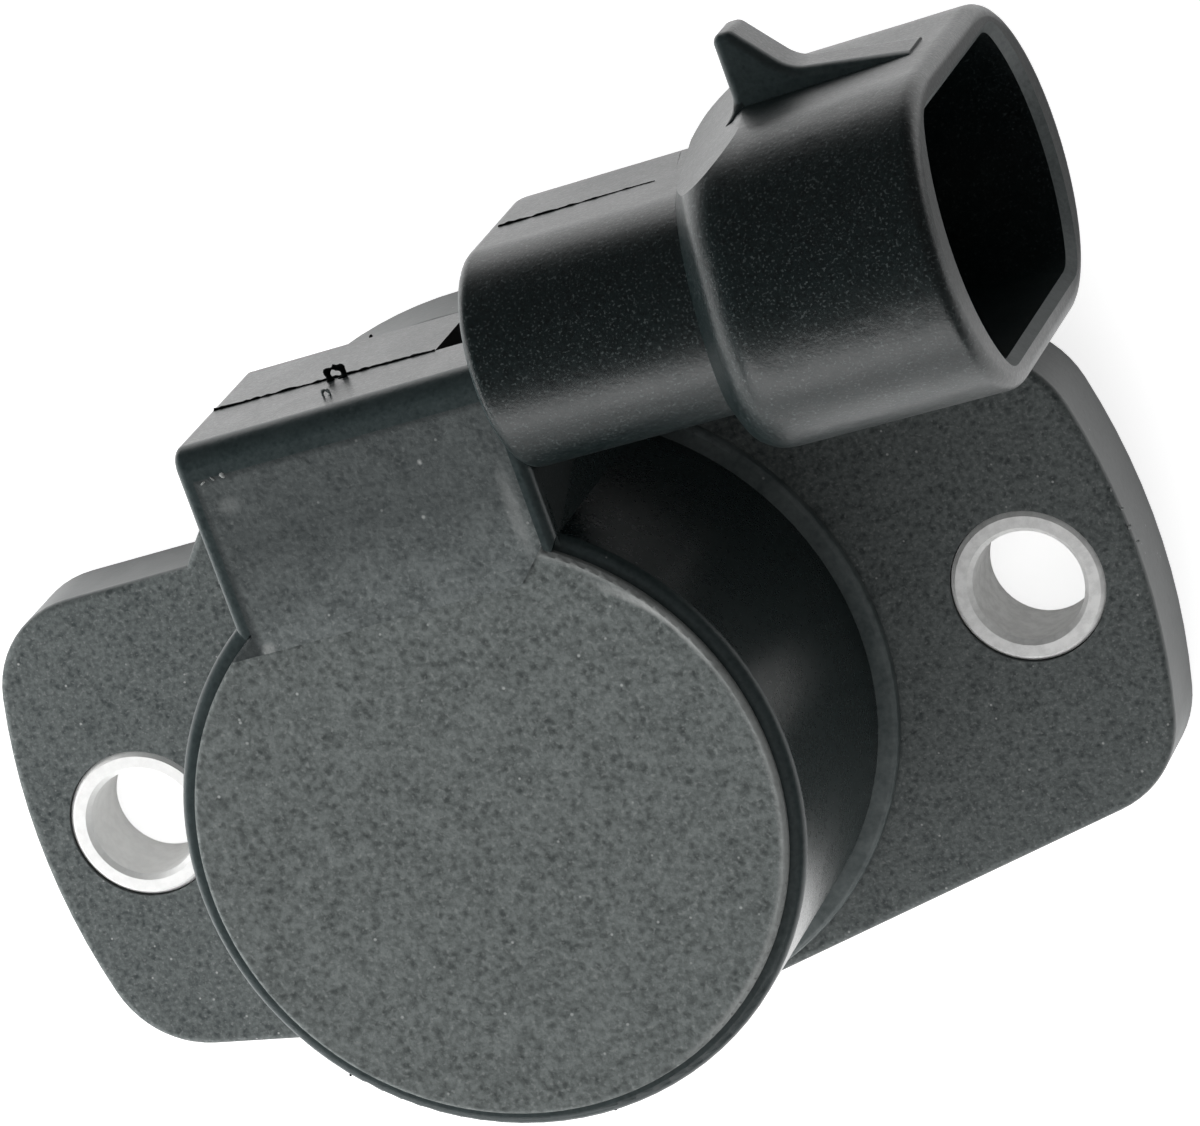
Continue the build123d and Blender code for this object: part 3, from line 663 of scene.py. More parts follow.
@dataclass(frozen=True)
class TurnedFinish(Finish):
    """Turned metal: lathe rings about one axis, and dull blotches."""

    centre_mm: Point = (0.0, 0.0, 0.0)
    dull: Colour = (0.4, 0.4, 0.4)
    ring_mm: float = 0.12
    blotch_mm: float = 0.7
    dull_roughness: float = 0.5
    relief_mm: float = 0.004
    relief_strength: float = 0.35

    def dress(self, wire: Wiring, shader: Node, place: Any) -> None:
        """Wire rings about the piece's own axis and the blotches.

        Args:
            wire: Wiring of the material's tree.
            shader: The material's Principled node.
            place: Object coordinates.
        """
        shift = wire.feed(wire.add(NodeKind.MAPPING), Vector=place, Location=Vector(self.centre_mm) * -MM)
        marks = self.group(
            wire,
            GroupName.TURNING,
            shift.outputs["Vector"],
            Rings=1.0 / (self.ring_mm * MM),
            Blotches=1.0 / (self.blotch_mm * MM),
        )
        tone = wire.blend(marks.outputs["Blotch"], self.colour, self.dull)
        wire.join(tone, shader.inputs["Base Color"])
        spread = self.dull_roughness - self.roughness
        rough = wire.times(marks.outputs["Blotch"], spread)
        wire.join(wire.plus(rough, self.roughness, clamp=True), shader.inputs["Roughness"])
        self.relief(wire, shader, marks.outputs["Ring"], self.relief_strength, self.relief_mm)


@dataclass(frozen=True)
class PlainFinish(Finish):
    """Stamped, printed or pressed surface with faint smudges and a fine grain."""

    worn: Colour = (0.2, 0.2, 0.2)
    wear: float = 0.35
    smudge_scale: float = 420.0
    roughness_swing: float = 0.12
    mottle: float = 0.3
    grain_mm: float = 0.2
    relief_mm: float = 0.004
    relief_strength: float = 0.3

    def dress(self, wire: Wiring, shader: Node, place: Any) -> None:
        """Wire colour that fades in smudges, and a fine relief.

        Args:
            wire: Wiring of the material's tree.
            shader: The material's Principled node.
            place: Object coordinates.
        """
        marks = self.group(wire, GroupName.HANDLING, place, Scale=self.smudge_scale, Contrast=1.0)
        scale = 1.0 / (self.grain_mm * MM)
        grain = self.group(wire, GroupName.SPARK_GRAIN, place, Scale=scale, Mottle=self.mottle, Specks=0.0)
        share = wire.times(marks.outputs["Smudge"], self.wear)
        wire.join(wire.blend(share, self.colour, self.worn), shader.inputs["Base Color"])
        swing = wire.times(marks.outputs["Smudge"], self.roughness_swing)
        wire.join(wire.plus(swing, self.roughness, clamp=True), shader.inputs["Roughness"])
        self.relief(wire, shader, grain.outputs["Height"], self.relief_strength, self.relief_mm)


class Plastic(Enum):
    """Moulded plastics of the housing, the cover and the rotor."""

    FLANGE = MouldedFinish(
        "flange_spark", (0.018, 0.026, 0.027), 0.55, light=(0.117, 0.132, 0.13),
        speck=(0.3, 0.31, 0.305), grain_mm=0.24, mottle=0.12, specks=0.24, grit=0.3, relief_mm=0.03,
        relief_strength=0.55,
    )
    WALL = MouldedFinish(
        "flange_wall_satin", (0.036, 0.043, 0.044), 0.32, light=(0.09, 0.1, 0.099),
        speck=(0.2, 0.205, 0.205), grain_mm=0.22, mottle=0.35, specks=0.08, relief_mm=0.012,
        relief_strength=0.35,
    )
    # The cover's colour carries painted highlights on the right side of its rim.
    COVER = RimHighlightFinish(
        "cover_spark", (0.026, 0.033, 0.032), 0.6, light=(0.138, 0.154, 0.151),
        speck=(0.27, 0.285, 0.28), grain_mm=0.29, mottle=0.16, specks=0.22, grit=0.3, relief_mm=0.035,
        relief_strength=0.6,
    )
    BLOCK_FACE = FadedFinish(
        "block_face_spark", (0.028, 0.036, 0.037), 0.55, light=(0.134, 0.15, 0.149),
        speck=(0.26, 0.275, 0.27), grain_mm=0.26, mottle=0.3, specks=0.18, grit=0.32, relief_mm=0.035,
        relief_strength=0.6, patches=FACE_SCUFFS,
    )
    SHELL = MouldedFinish(
        "shell_satin", (0.0, 0.0016, 0.0019), 0.3, specular=0.62, light=(0.003, 0.009, 0.0095),
        speck=(0.07, 0.085, 0.085), grain_mm=0.17, mottle=0.12, specks=0.03, grit=0.6, relief_mm=0.014,
        relief_strength=0.4,
    )
    BARREL = MouldedFinish(
        "barrel_smooth", (0.001, 0.006, 0.0065), 0.22, specular=0.66, light=(0.005, 0.0125, 0.013),
        speck=(0.09, 0.098, 0.098), grain_mm=0.2, mottle=0.2, specks=0.05, relief_mm=0.006,
        relief_strength=0.3,
    )
    RIM = MouldedFinish(
        "rim_satin", (0.009, 0.017, 0.018), 0.34, light=(0.024, 0.036, 0.037), speck=(0.12, 0.13, 0.13),
        grain_mm=0.18, mottle=0.2, specks=0.05, relief_mm=0.012, relief_strength=0.4,
    )
    # Painted highlight: the mouth's lead-in chamfer is the same black moulding, given a lighter colour for
    # the light it catches.
    MOUTH = MouldedFinish(
        "mouth_lead_in_painted_highlight", (0.05, 0.062, 0.063), 0.34, light=(0.12, 0.136, 0.136), grain_mm=0.2,
        mottle=0.3, specks=0.04, relief_mm=0.012, relief_strength=0.35,
    )
    STEP = MouldedFinish(
        "step_satin", (0.052, 0.068, 0.069), 0.36, light=(0.13, 0.15, 0.15), speck=(0.25, 0.26, 0.26),
        grain_mm=0.25, mottle=0.5, specks=0.08, relief_mm=0.01, relief_strength=0.35,
    )
    CHIP = MouldedFinish(
        "chipped_edge", (0.12, 0.13, 0.128), 0.6, light=(0.3, 0.31, 0.305), grain_mm=0.12, specks=0.0,
    )
    # Painted shade: near-black plastic that hardly reflects, standing in for the shade in the notch beside
    # the neck; the parting lines, burrs and larger gate curl take the same colour.
    NOTCH = MouldedFinish(
        "notch_shade", (0.0006, 0.001, 0.001), 0.8, specular=0.1, light=(0.002, 0.003, 0.003),
        speck=(0.004, 0.005, 0.005), grain_mm=0.25, specks=0.0, relief_mm=0.01, relief_strength=0.3,
    )
    ROTOR = MouldedFinish(
        "rotor_moulded", (0.04, 0.04, 0.041), 0.45, light=(0.075, 0.075, 0.076), grain_mm=0.25,
        specks=0.05, relief_mm=0.01, relief_strength=0.3,
    )
    BUSH = MouldedFinish(
        "bush_bearing", (0.62, 0.58, 0.48), 0.42, light=(0.74, 0.7, 0.6), speck=(0.4, 0.37, 0.3),
        grain_mm=0.25, specks=0.05, relief_mm=0.005, relief_strength=0.25,
    )


class Metal(Enum):
    """Metals, prints and the other inner surfaces."""

    LEFT_SLEEVE = TurnedFinish(
        "left_sleeve_turned", (0.95, 0.95, 0.94), 0.5, 0.1,
        centre_mm=(-25.0, 0.0, 0.0), dull=(0.88, 0.88, 0.87),
    )
    RIGHT_SLEEVE = TurnedFinish(
        "right_sleeve_turned", (0.96, 0.96, 0.95), 0.5, 0.06,
        centre_mm=(25.0, 0.0, 0.0), dull=(0.8, 0.8, 0.79),
    )
    TERMINAL = PlainFinish("terminal_tinned", (0.78, 0.75, 0.66), 0.28, 1.0, worn=(0.6, 0.52, 0.34))
    WIPER = PlainFinish("wiper_spring", (0.8, 0.7, 0.48), 0.25, 1.0, worn=(0.62, 0.5, 0.32))
    STEEL = PlainFinish("spring_steel", (0.5, 0.5, 0.5), 0.32, 1.0, worn=(0.28, 0.27, 0.26))
    SILVER = PlainFinish("silver_print", (0.72, 0.72, 0.7), 0.45, 0.9, worn=(0.5, 0.49, 0.46))
    SOLDER = PlainFinish("bright_solder", (0.76, 0.76, 0.75), 0.22, 1.0, worn=(0.55, 0.55, 0.55))
    CARBON = PlainFinish("carbon_print", (0.02, 0.02, 0.02), 0.5, worn=(0.05, 0.05, 0.05))
    CERAMIC = PlainFinish("board_ceramic", (0.84, 0.83, 0.8), 0.55, worn=(0.74, 0.72, 0.68))
    RUBBER = PlainFinish("seal_rubber", (0.016, 0.016, 0.017), 0.62, worn=(0.04, 0.04, 0.04))


class Workshop:
    """Turns bmeshes and CAD nodes into finished pieces that ride on a body."""

    def __init__(self, nodes: Dict[str, Object]) -> None:
        """Keep the frame's CAD nodes by name."""
        self.nodes = nodes

    @staticmethod
    def flats(bm: BMesh) -> Dict[int, int]:
        """Number the larger flat parts of a shape, so that each can shade by itself.

        Args:
            bm: Shape to look at.

        Returns:
            The number of the flat part by face index, without the faces of small parts.
        """
        bm.faces.index_update()
        parts: Dict[int, int] = {}
        seen: Set[int] = set()
        for start in bm.faces:
            if start.index in seen:
                continue
            seen.add(start.index)
            part = [start]
            for face in part:
                level = [edge for edge in face.edges if edge.calc_face_angle(1.0) < FLAT_ANGLE]
                fresh = {other for edge in level for other in edge.link_faces if other.index not in seen}
                seen.update(other.index for other in fresh)
                part.extend(fresh)
            if len(part) >= FLAT_FACES:
                parts.update((face.index, start.index) for face in part)
        return parts

    def soften(self, bm: BMesh, sharp_degrees: float) -> None:
        """Shade a shape smooth up to an angle, except along the borders of its flat parts.

        Args:
            bm: Shape to shade.
            sharp_degrees: Angle from which an edge stays sharp.
        """
        bm.normal_update()
        limit = math.radians(sharp_degrees)
        parts = self.flats(bm)
        for face in bm.faces:
            face.smooth = True
        for edge in bm.edges:
            within = len({parts.get(face.index, -1) for face in edge.link_faces}) == 1
            edge.smooth = edge.calc_face_angle(0.0) < limit and within

    def piece(
        self,
        name: str,
        bm: BMesh,
        kinds: Sequence[Enum],
        body: str,
        slot: str,
        sharp_degrees: float = SHARP_DEGREES,
    ) -> Object:
        """Make an object from a bmesh and let it ride on a body.

        Args:
            name: Name of the piece.
            bm: Its shape, in metres, which is freed.
            kinds: Its finishes, in the order of the face indices.
            body: Body that it rides on.
            slot: The record's material slot; not used.
            sharp_degrees: Angle from which an edge stays sharp.

        Returns:
            The new object.
        """
        mesh = bpy.data.meshes.new(name)
        self.soften(bm, sharp_degrees)
        bm.to_mesh(mesh)
        bm.free()
        for kind in kinds:
            mesh.materials.append(kind.value.material())
        made = bpy.data.objects.new(name, mesh)
        bpy.context.scene.collection.objects.link(made)
        evened = made.modifiers.new("even_normals", "WEIGHTED_NORMAL")
        evened.keep_sharp = True
        evened.weight = NORMAL_WEIGHT
        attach(made, body)
        LOG.info("%s: %d faces on %s", name, len(mesh.polygons), body)
        return made

    def merged_copy(self, node: str) -> BMesh:
        """Copy a CAD node's mesh and merge the points that lie together.

        Args:
            node: Name of the CAD node.

        Returns:
            The merged copy.
        """
        bm = bmesh.new()
        bm.from_mesh(self.nodes[node].data)
        bmesh.ops.remove_doubles(bm, verts=bm.verts, dist=MERGE_MM * MM)
        return bm

    def replace(
        self,
        node: str,
        bm: BMesh,
        kinds: Sequence[Enum],
        body: str,
        slot: str,
        sharp_degrees: float = SHARP_DEGREES,
    ) -> None:
        """Replace a CAD node by its dressed copy.

        Args:
            node: Name of the CAD node.
            bm: Its merged copy, which is freed.
            kinds: Its finishes, in the order of the face indices.
            body: Body that it rides on.
            slot: The record's material slot.
            sharp_degrees: Angle from which an edge stays sharp.
        """
        made = self.piece(node + "_surface", bm, kinds, body, slot, sharp_degrees)
        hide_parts(node)

    def refinish(self, plan: Sequence[Tuple[str, Enum, str]], body: str) -> None:
        """Replace CAD nodes by merged, smooth copies in one finish each.

        Args:
            plan: Name, finish and material slot of each node.
            body: Body that they ride on.
        """
        for node, kind, slot in plan:
            bm = self.merged_copy(node)
            for face in bm.faces:
                face.material_index = 0
            self.replace(node, bm, [kind], body, slot)


@dataclass(frozen=True)
class PartingLine:
    """A thin flash ridge on a wall that faces +Y, where the mould halves met.

    Its taper is the width at its end as a share of that at its start, and its seed sets its waver.
    """

    name: str
    start_mm: Point
    end_mm: Point
    taper: float
    seed: int


@dataclass(frozen=True)
class Curl:
    """A curled thread that the broken gate left standing on the block's wall."""

    centre_mm: Point
    radius_mm: float
    thickness_mm: float
    kind: Plastic


@dataclass(frozen=True)
class FlakeGroup:
    """Small burrs or chips of one kind, half sunk in the surface, whose shapes the seed sets."""

    name: str
    size_mm: float
    kind: Plastic
    seed: int
    places_mm: Tuple[Point, ...]


@dataclass
class Housing:
    """The moulded housing, with its parting lines, gate mark, burrs and chips.

    Lengths are in millimetres. A wave of the parting lines is a strength, a rate and a row of noise.
    """

    ZONES = (
        Plastic.FLANGE,
        Plastic.SHELL,
        Plastic.BARREL,
        Plastic.WALL,
        Plastic.NOTCH,
        Plastic.STEP,
        Plastic.RIM,
        Plastic.MOUTH,
    )

    shop: Workshop
    body_r: float = 16.0
    step_r: float = 17.05
    step_z: float = 5.7
    flange_t: float = 5.0
    rim_z: float = 22.55
    rim_h: float = 0.6
    rim_reach: float = 0.1
    seam_z: float = 17.0
    block_left: float = -8.9
    block_right: float = 8.6
    block_top: float = 22.8
    barrel_top: float = 16.0
    neck_x: float = 8.4
    lug_y: float = 30.75
    lug_half_w: float = 1.52
    heel_x: float = 22.5
    heel_l: float = 0.65
    heel_y: float = 29.842
    heel_z: float = 18.5
    heel_slope: float = 0.095
    heel_share: float = 0.08
    rib_end_x: float = 32.39
    rib_end_y: float = 30.717
    rib_end_l: float = 0.1
    rib_end_share: float = 0.3
    shroud_left: float = 18.0
    shroud_low: float = 13.5
    socket_y: float = 22.7
    lead_in_x: float = 33.5
    lead_in_lean: Span = (0.5, 0.9)
    sharp_degrees: float = 44.0
    wall_lean: float = 0.6
    top_lean: float = 0.05
    notch_left: float = 3.9
    notch_d: float = 1.5
    line_w: float = 0.26
    line_h: float = 0.09
    line_crest: float = 0.4
    line_cuts: int = 60
    line_swells: Tuple[Wave, Wave] = ((0.8, 0.7, 0.5), (0.6, 3.3, 2.5))
    line_shift: Wave = (0.07, 1.4, 5.5)
    line_lift: Wave = (0.8, 3.1, 9.5)
    curl_sides: int = 10
    curl_steps: int = 28
    curl_uneven: float = 0.45
    curl_rate: float = 1.4
    curl_seed: float = 7.0
    flake_uneven: float = 0.5
    flake_spread: Span = (0.6, 1.5)
    flake_rise: Span = (0.35, 0.6)
    parting_lines: Tuple[PartingLine, ...] = (
        PartingLine("block_parting_line", (-8.45, 22.8, 16.3), (3.9, 22.8, 16.97), 0.9, 11),
        PartingLine("neck_parting_line", (9.25, 27.9, 16.95), (17.6, 27.9, 16.75), 0.25, 12),
    )
    gate_curls: Tuple[Curl, ...] = (
        Curl((-1.4, 23.05, 17.1), 0.42, 0.14, Plastic.NOTCH),
        Curl((-1.05, 22.92, 20.2), 0.2, 0.07, Plastic.STEP),
    )
    burrs: FlakeGroup = FlakeGroup(
        "moulding_burrs", 0.13, Plastic.NOTCH, 13,
        ((-4.33, 21.26, 2.9), (0.87, -15.9, 22.2), (-11.8, -10.7, 22.2)),
    )
    edge_chips: FlakeGroup = FlakeGroup(
        "edge_chips", 0.11, Plastic.CHIP, 14,
        ((30.75, 3.7, 4.85), (31.0, 2.6, 4.85), (31.05, 1.6, 4.85), (31.2, 0.75, 4.85)),
    )
    face_chips: FlakeGroup = FlakeGroup(
        "face_chips", 0.1, Plastic.CHIP, 15,
        ((-7.66, 20.94, 23.08), (-7.12, 21.04, 23.08), (-6.56, 21.05, 23.08), (-7.7, 11.8, 23.05)),
    )
    slot: str = "housing_plastic"

    def zone(self, face: BMFace) -> Plastic:
        """Pick the finish of a face by its place.

        Args:
            face: Face of the merged copy.

        Returns:
            The face's finish.
        """
        centre = face.calc_center_median() / MM
        radius = math.hypot(centre.x, centre.y)
        in_shroud = centre.x > self.shroud_left and centre.y > self.shroud_low
        outside = radius > self.step_r - NEAR_MM and not in_shroud
        if centre.z < NEAR_MM or centre.z < self.flange_t + NEAR_MM and outside:
            return Plastic.FLANGE if abs(face.normal.z) > self.wall_lean else Plastic.WALL
        # The notch's faces take the painted-shade colour.
        in_notch = self.notch_left - NEAR_MM < centre.x < self.neck_x + NEAR_MM
        notch_low = self.block_top - self.notch_d
        if in_notch and centre.z < self.seam_z + NEAR_MM:
            if notch_low - NEAR_MM < centre.y < self.block_top - NEAR_MM:
                return Plastic.NOTCH
        on_ring = self.body_r + NEAR_MM < radius < self.step_r + NEAR_MM
        if centre.z < self.step_z + NEAR_MM and on_ring:
            return Plastic.STEP
        # The mouth's lead-in chamfer takes the lighter painted-highlight colour.
        inward = face.normal.y * (self.socket_y - centre.y) + face.normal.z * (self.seam_z - centre.z)
        leaning = self.lead_in_lean[0] < face.normal.x < self.lead_in_lean[1]
        if centre.x > self.lead_in_x and leaning and inward > 0.0:
            return Plastic.MOUTH
        beside = centre.x < self.block_right or radius < self.body_r + self.rim_reach
        upper = centre.z > self.rim_z - self.rim_h and beside
        if (upper or centre.y > self.lug_y) and face.normal.z > self.top_lean:
            return Plastic.RIM
        in_block = centre.x > self.block_left - NEAR_MM and centre.y > self.barrel_top
        if radius < self.step_r + NEAR_MM and not in_block:
            return Plastic.BARREL
        return Plastic.SHELL

    def build(self) -> None:
        """Dress the moulding and add its marks."""
        bm = self.shop.merged_copy("housing")
        for face in bm.faces:
            face.material_index = self.ZONES.index(self.zone(face))
        self.ease_lug(bm)
        self.shop.replace("housing", bm, self.ZONES, FIXED_BODY, self.slot, self.sharp_degrees)
        for line in self.parting_lines:
            self.parting_line(line)
        self.curls("gate_stub", self.gate_curls)
        for group in (self.burrs, self.edge_chips, self.face_chips):
            self.flakes(group)

    def ease_lug(self, bm: BMesh) -> None:
        """Let the lug's heel and the rib's end run out into the shroud.

        Args:
            bm: Merged copy of the housing.
        """
        for vert in bm.verts:
            place = vert.co / MM
            if abs(place.z - self.seam_z) > self.lug_half_w:
                continue
            ground = self.heel_y + self.heel_slope * (self.heel_z - place.z)
            share = self.heel_share + (1.0 - self.heel_share) * (place.x - self.heel_x) / self.heel_l
            if 0.0 < share < 1.0 and place.y > ground:
                vert.co.y = (ground + (place.y - ground) * share) * MM
            if 0.0 < place.x - self.rib_end_x < self.rib_end_l and place.y > self.rib_end_y:
                vert.co.y = (self.rib_end_y + (place.y - self.rib_end_y) * self.rib_end_share) * MM

    def parting_line(self, line: PartingLine) -> None:
        """Make a flash ridge.

        Args:
            line: Its name, ends, taper and seed.
        """

        def waver(along: float, strength: float, rate: float, row: float) -> float:
            """Give a wave's value at a place along the line."""
            return strength * noise.noise((along * rate, line.seed, row))

        start = Vector(line.start_mm)
        run = Vector(line.end_mm) - start
        bm = bmesh.new()
        bmesh.ops.create_cube(bm, size=1.0)
        long_edges = [edge for edge in bm.edges if abs(edge.verts[0].co.x - edge.verts[1].co.x) > 0.5]
        bmesh.ops.subdivide_edges(bm, edges=long_edges, cuts=self.line_cuts, use_grid_fill=True)
        crest = [vert for vert in bm.verts if vert.co.y > 0.0]
        bmesh.ops.scale(bm, verts=crest, vec=(1.0, 1.0, self.line_crest))
        bmesh.ops.scale(bm, verts=bm.verts, vec=(run.length, 2.0 * self.line_h, self.line_w))
        for vert in bm.verts:
            along = vert.co.x
            thin = 1.0 + (line.taper - 1.0) * (along / run.length + 0.5)
            swell = 1.0 + sum(waver(along, *wave) for wave in self.line_swells)
            vert.co.z = vert.co.z * swell * thin + waver(along, *self.line_shift)
            vert.co.y *= thin * (1.0 + waver(along, *self.line_lift))
        turn = Matrix.Rotation(-math.atan2(run.z, run.x), 3, "Y")
        bmesh.ops.rotate(bm, verts=bm.verts, cent=ORIGIN, matrix=turn)
        bmesh.ops.translate(bm, verts=bm.verts, vec=start + run / 2)
        self.settle(line.name, bm, [Plastic.NOTCH])

    def curls(self, name: str, curls: Sequence[Curl]) -> None:
        """Make curled threads as one piece.

        Args:
            name: Name of the piece.
            curls: The place, size and finish of each.
        """
        bm = bmesh.new()
        upright = Matrix.Rotation(math.pi / 2, 3, "X")
        for index, curl in enumerate(curls):
            thickness = curl.thickness_mm
            loop = bmesh.ops.create_circle(bm, segments=self.curl_sides, radius=thickness)["verts"]
            bmesh.ops.rotate(bm, verts=loop, cent=ORIGIN, matrix=upright)
            bmesh.ops.translate(bm, verts=loop, vec=(curl.radius_mm, 0.0, 0.0))
            edges = [edge for edge in bm.edges if edge.verts[0] in loop]
            bmesh.ops.spin(
                bm,
                geom=loop + edges,
                cent=ORIGIN,
                axis=(0.0, 0.0, 1.0),
                angle=2.0 * math.pi,
                steps=self.curl_steps,
                use_merge=True,
            )
            verts = [vert for vert in bm.verts if not vert.tag]
            drift = Vector((0.0, 0.0, self.curl_seed + index))
            for vert in verts:
                vert.tag = True
                place = vert.co / curl.radius_mm * self.curl_rate + drift
                vert.co *= 1.0 + self.curl_uneven * noise.noise(place)
            for face in {face for vert in verts for face in vert.link_faces}:
                face.material_index = index
            bmesh.ops.translate(bm, verts=verts, vec=curl.centre_mm)
        self.settle(name, bm, [curl.kind for curl in curls])

    def flakes(self, group: FlakeGroup) -> None:
        """Make burrs or chips as one piece.

        Args:
            group: Their places, usual radius, finish and seed.
        """
        draw = random.Random(group.seed)
        bm = bmesh.new()
        size = group.size_mm
        for place in group.places_mm:
            verts = bmesh.ops.create_icosphere(bm, subdivisions=2, radius=size)["verts"]
            drift = Vector((group.seed, place[0], place[1]))
            for vert in verts:
                vert.co *= 1.0 + self.flake_uneven * noise.noise(vert.co / size + drift)
            spans = (self.flake_spread, self.flake_spread, self.flake_rise)
            bmesh.ops.scale(bm, verts=verts, vec=[draw.uniform(*span) for span in spans])
            turn = Matrix.Rotation(draw.uniform(0.0, math.pi), 3, "Z")
            bmesh.ops.rotate(bm, verts=verts, cent=ORIGIN, matrix=turn)
            bmesh.ops.translate(bm, verts=verts, vec=place)
        self.settle(group.name, bm, [group.kind])

    def settle(self, name: str, bm: BMesh, kinds: Sequence[Plastic]) -> None:
        """Bring a mark from millimetres to metres and fix it to the housing.

        Args:
            name: Name of the piece.
            bm: Its shape in millimetres.
            kinds: Its finishes, in the order of the face indices.
        """
        bmesh.ops.scale(bm, verts=bm.verts, vec=(MM, MM, MM))
        bmesh.ops.recalc_face_normals(bm, faces=bm.faces)
        self.shop.piece(name, bm, kinds, FIXED_BODY, self.slot)


@dataclass
class Cover:
    """The keyhole front cover with its textured face. Lengths are in millimetres."""

    ZONES = (Plastic.COVER, Plastic.BLOCK_FACE)

    shop: Workshop
    pad_low_y: float = 11.7
    pad_chamfer: float = 1.6
    pad_left: float = -8.1
    pad_right: float = 7.8
    pad_top: float = 21.05
    front_z: float = 23.0
    front_edge: float = 0.3
    rim_z: float = 22.55
    seam: float = 0.05
    cut_reach: float = 0.001
    slot: str = "cover_plastic"

    def zone(self, face: BMFace) -> Plastic:
        """Pick the finish of a face, on the block's face or on the disc.

        Args:
            face: Face of the merged copy.

        Returns:
            The face's finish.
        """
        centre = face.calc_center_median() / MM
        cut = max(0.0, centre.x - self.pad_right + self.pad_chamfer)
        on_front = centre.z > self.front_z - self.front_edge
        return Plastic.BLOCK_FACE if on_front and centre.y > self.pad_low_y + cut else Plastic.COVER

    def build(self) -> None:
        """Dress the cover, with its flat face parted along the block's foot."""
        bm = self.shop.merged_copy("front_cover")
        self.close_seam(bm)
        bmesh.ops.bisect_plane(
            bm,
            geom=bm.verts[:] + bm.edges[:] + bm.faces[:],
            dist=self.cut_reach * MM,
            plane_co=(0.0, self.pad_low_y * MM, 0.0),
            plane_no=(0.0, 1.0, 0.0),
        )
        for face in bm.faces:
            face.material_index = self.ZONES.index(self.zone(face))
        self.shop.replace("front_cover", bm, self.ZONES, FIXED_BODY, self.slot)

    def close_seam(self, bm: BMesh) -> None:
        """Press the pad's sides against the block, where the real joint can't be seen.

        Args:
            bm: Merged copy of the cover.
        """
        out = self.seam
        front = [vert for vert in bm.verts if vert.co.z / MM > self.rim_z - NEAR_MM]
        sides = ((0, self.pad_left, -out), (0, self.pad_right, out), (1, self.pad_top, out))
        for axis, place, shift in sides:
            wall = [vert for vert in front if abs(vert.co[axis] / MM - place) < NEAR_MM]
            step = Vector(ORIGIN)
            step[axis] = shift * MM
            bmesh.ops.translate(bm, verts=wall, vec=step)


@dataclass
class FixedInside:
    """Sleeves, terminals, board and seals that stay with the housing."""

    shop: Workshop

    def build(self) -> None:
        """Dress each fixed inner piece and the two sleeves."""
        plan = [
            ("left_sleeve", Metal.LEFT_SLEEVE, "sleeve_metal"),
            ("right_sleeve", Metal.RIGHT_SLEEVE, "sleeve_metal"),
            ("ground_terminal", Metal.TERMINAL, "terminal_brass"),
            ("signal_terminal", Metal.TERMINAL, "terminal_brass"),
            ("supply_terminal", Metal.TERMINAL, "terminal_brass"),
            ("track_board", Metal.CERAMIC, "board_ceramic"),
            ("resistor_track", Metal.CARBON, "carbon_print"),
            ("collector_track", Metal.CARBON, "carbon_print"),
            ("conductors", Metal.SILVER, "silver_print"),
            ("solder_joints", Metal.SOLDER, "solder"),
            ("rotor_bush", Plastic.BUSH, "bush_plastic"),
            ("thrust_washer", Plastic.BUSH, "bush_plastic"),
            ("rotor_seal", Metal.RUBBER, "seal_rubber"),
            ("flange_seal", Metal.RUBBER, "seal_rubber"),
        ]
        self.shop.refinish(plan, FIXED_BODY)


@dataclass
class TurningInside:
    """The rotor and what turns with it."""

    shop: Workshop

    def build(self) -> None:
        """Dress each turning piece."""
        plan = [
            ("rotor", Plastic.ROTOR, "rotor_plastic"),
            ("wiper", Metal.WIPER, "wiper_alloy"),
            ("drive_clip", Metal.STEEL, "spring_steel"),
            ("spring_washer", Metal.STEEL, "spring_steel"),
            ("retaining_ring", Metal.STEEL, "spring_steel"),
        ]
        self.shop.refinish(plan, TURNING_BODY)


@dataclass
class Camera:
    """Camera fitted to the photograph's view."""

    place_mm: Point = (145.466, 107.884, 399.236)
    right: Point = (0.91093231, -0.33441724, -0.24159353)
    up: Point = (0.24947626, 0.91291816, -0.32302016)
    back: Point = (0.32857863, 0.23397765, 0.91503581)
    focal_px: float = 8431.8
    frame_px: float = 1200.0
    sensor_mm: float = 36.0
    clip: Span = (0.01, 5.0)

    def build(self) -> None:
        """Make the camera and set it as the scene's own."""
        data = bpy.data.cameras.new("sensor_camera")
        data.sensor_fit = "HORIZONTAL"
        data.sensor_width = self.sensor_mm
        data.lens = self.focal_px / self.frame_px * self.sensor_mm
        data.clip_start, data.clip_end = self.clip
        made = bpy.data.objects.new("sensor_camera", data)
        axes = Matrix((self.right, self.up, self.back)).transposed()
        made.matrix_world = Matrix.LocRotScale(Vector(self.place_mm) * MM, axes.to_quaternion(), None)
        bpy.context.scene.collection.objects.link(made)
        bpy.context.scene.camera = made


@dataclass(frozen=True)
class SoftLamp:
    """One soft area lamp of the studio."""

    name: str
    direction: Point
    distance: float
    width: float
    height: float
    power: float
    in_diffuse: bool = True
    in_gloss: bool = True

    def build(self, aim: Vector) -> None:
        """Place the lamp and point it at the object.

        Args:
            aim: Point that the lamp faces.
        """
        data = bpy.data.lights.new(self.name, "AREA")
        data.shape = "RECTANGLE"
        data.size = self.width
        data.size_y = self.height
        data.energy = self.power
        made = bpy.data.objects.new(self.name, data)
        away = Vector(self.direction).normalized()
        turn = away.to_track_quat("Z", "Y")
        made.matrix_world = Matrix.LocRotScale(aim + away * self.distance, turn, None)
        made.visible_diffuse = self.in_diffuse
        made.visible_glossy = self.in_gloss
        bpy.context.scene.collection.objects.link(made)


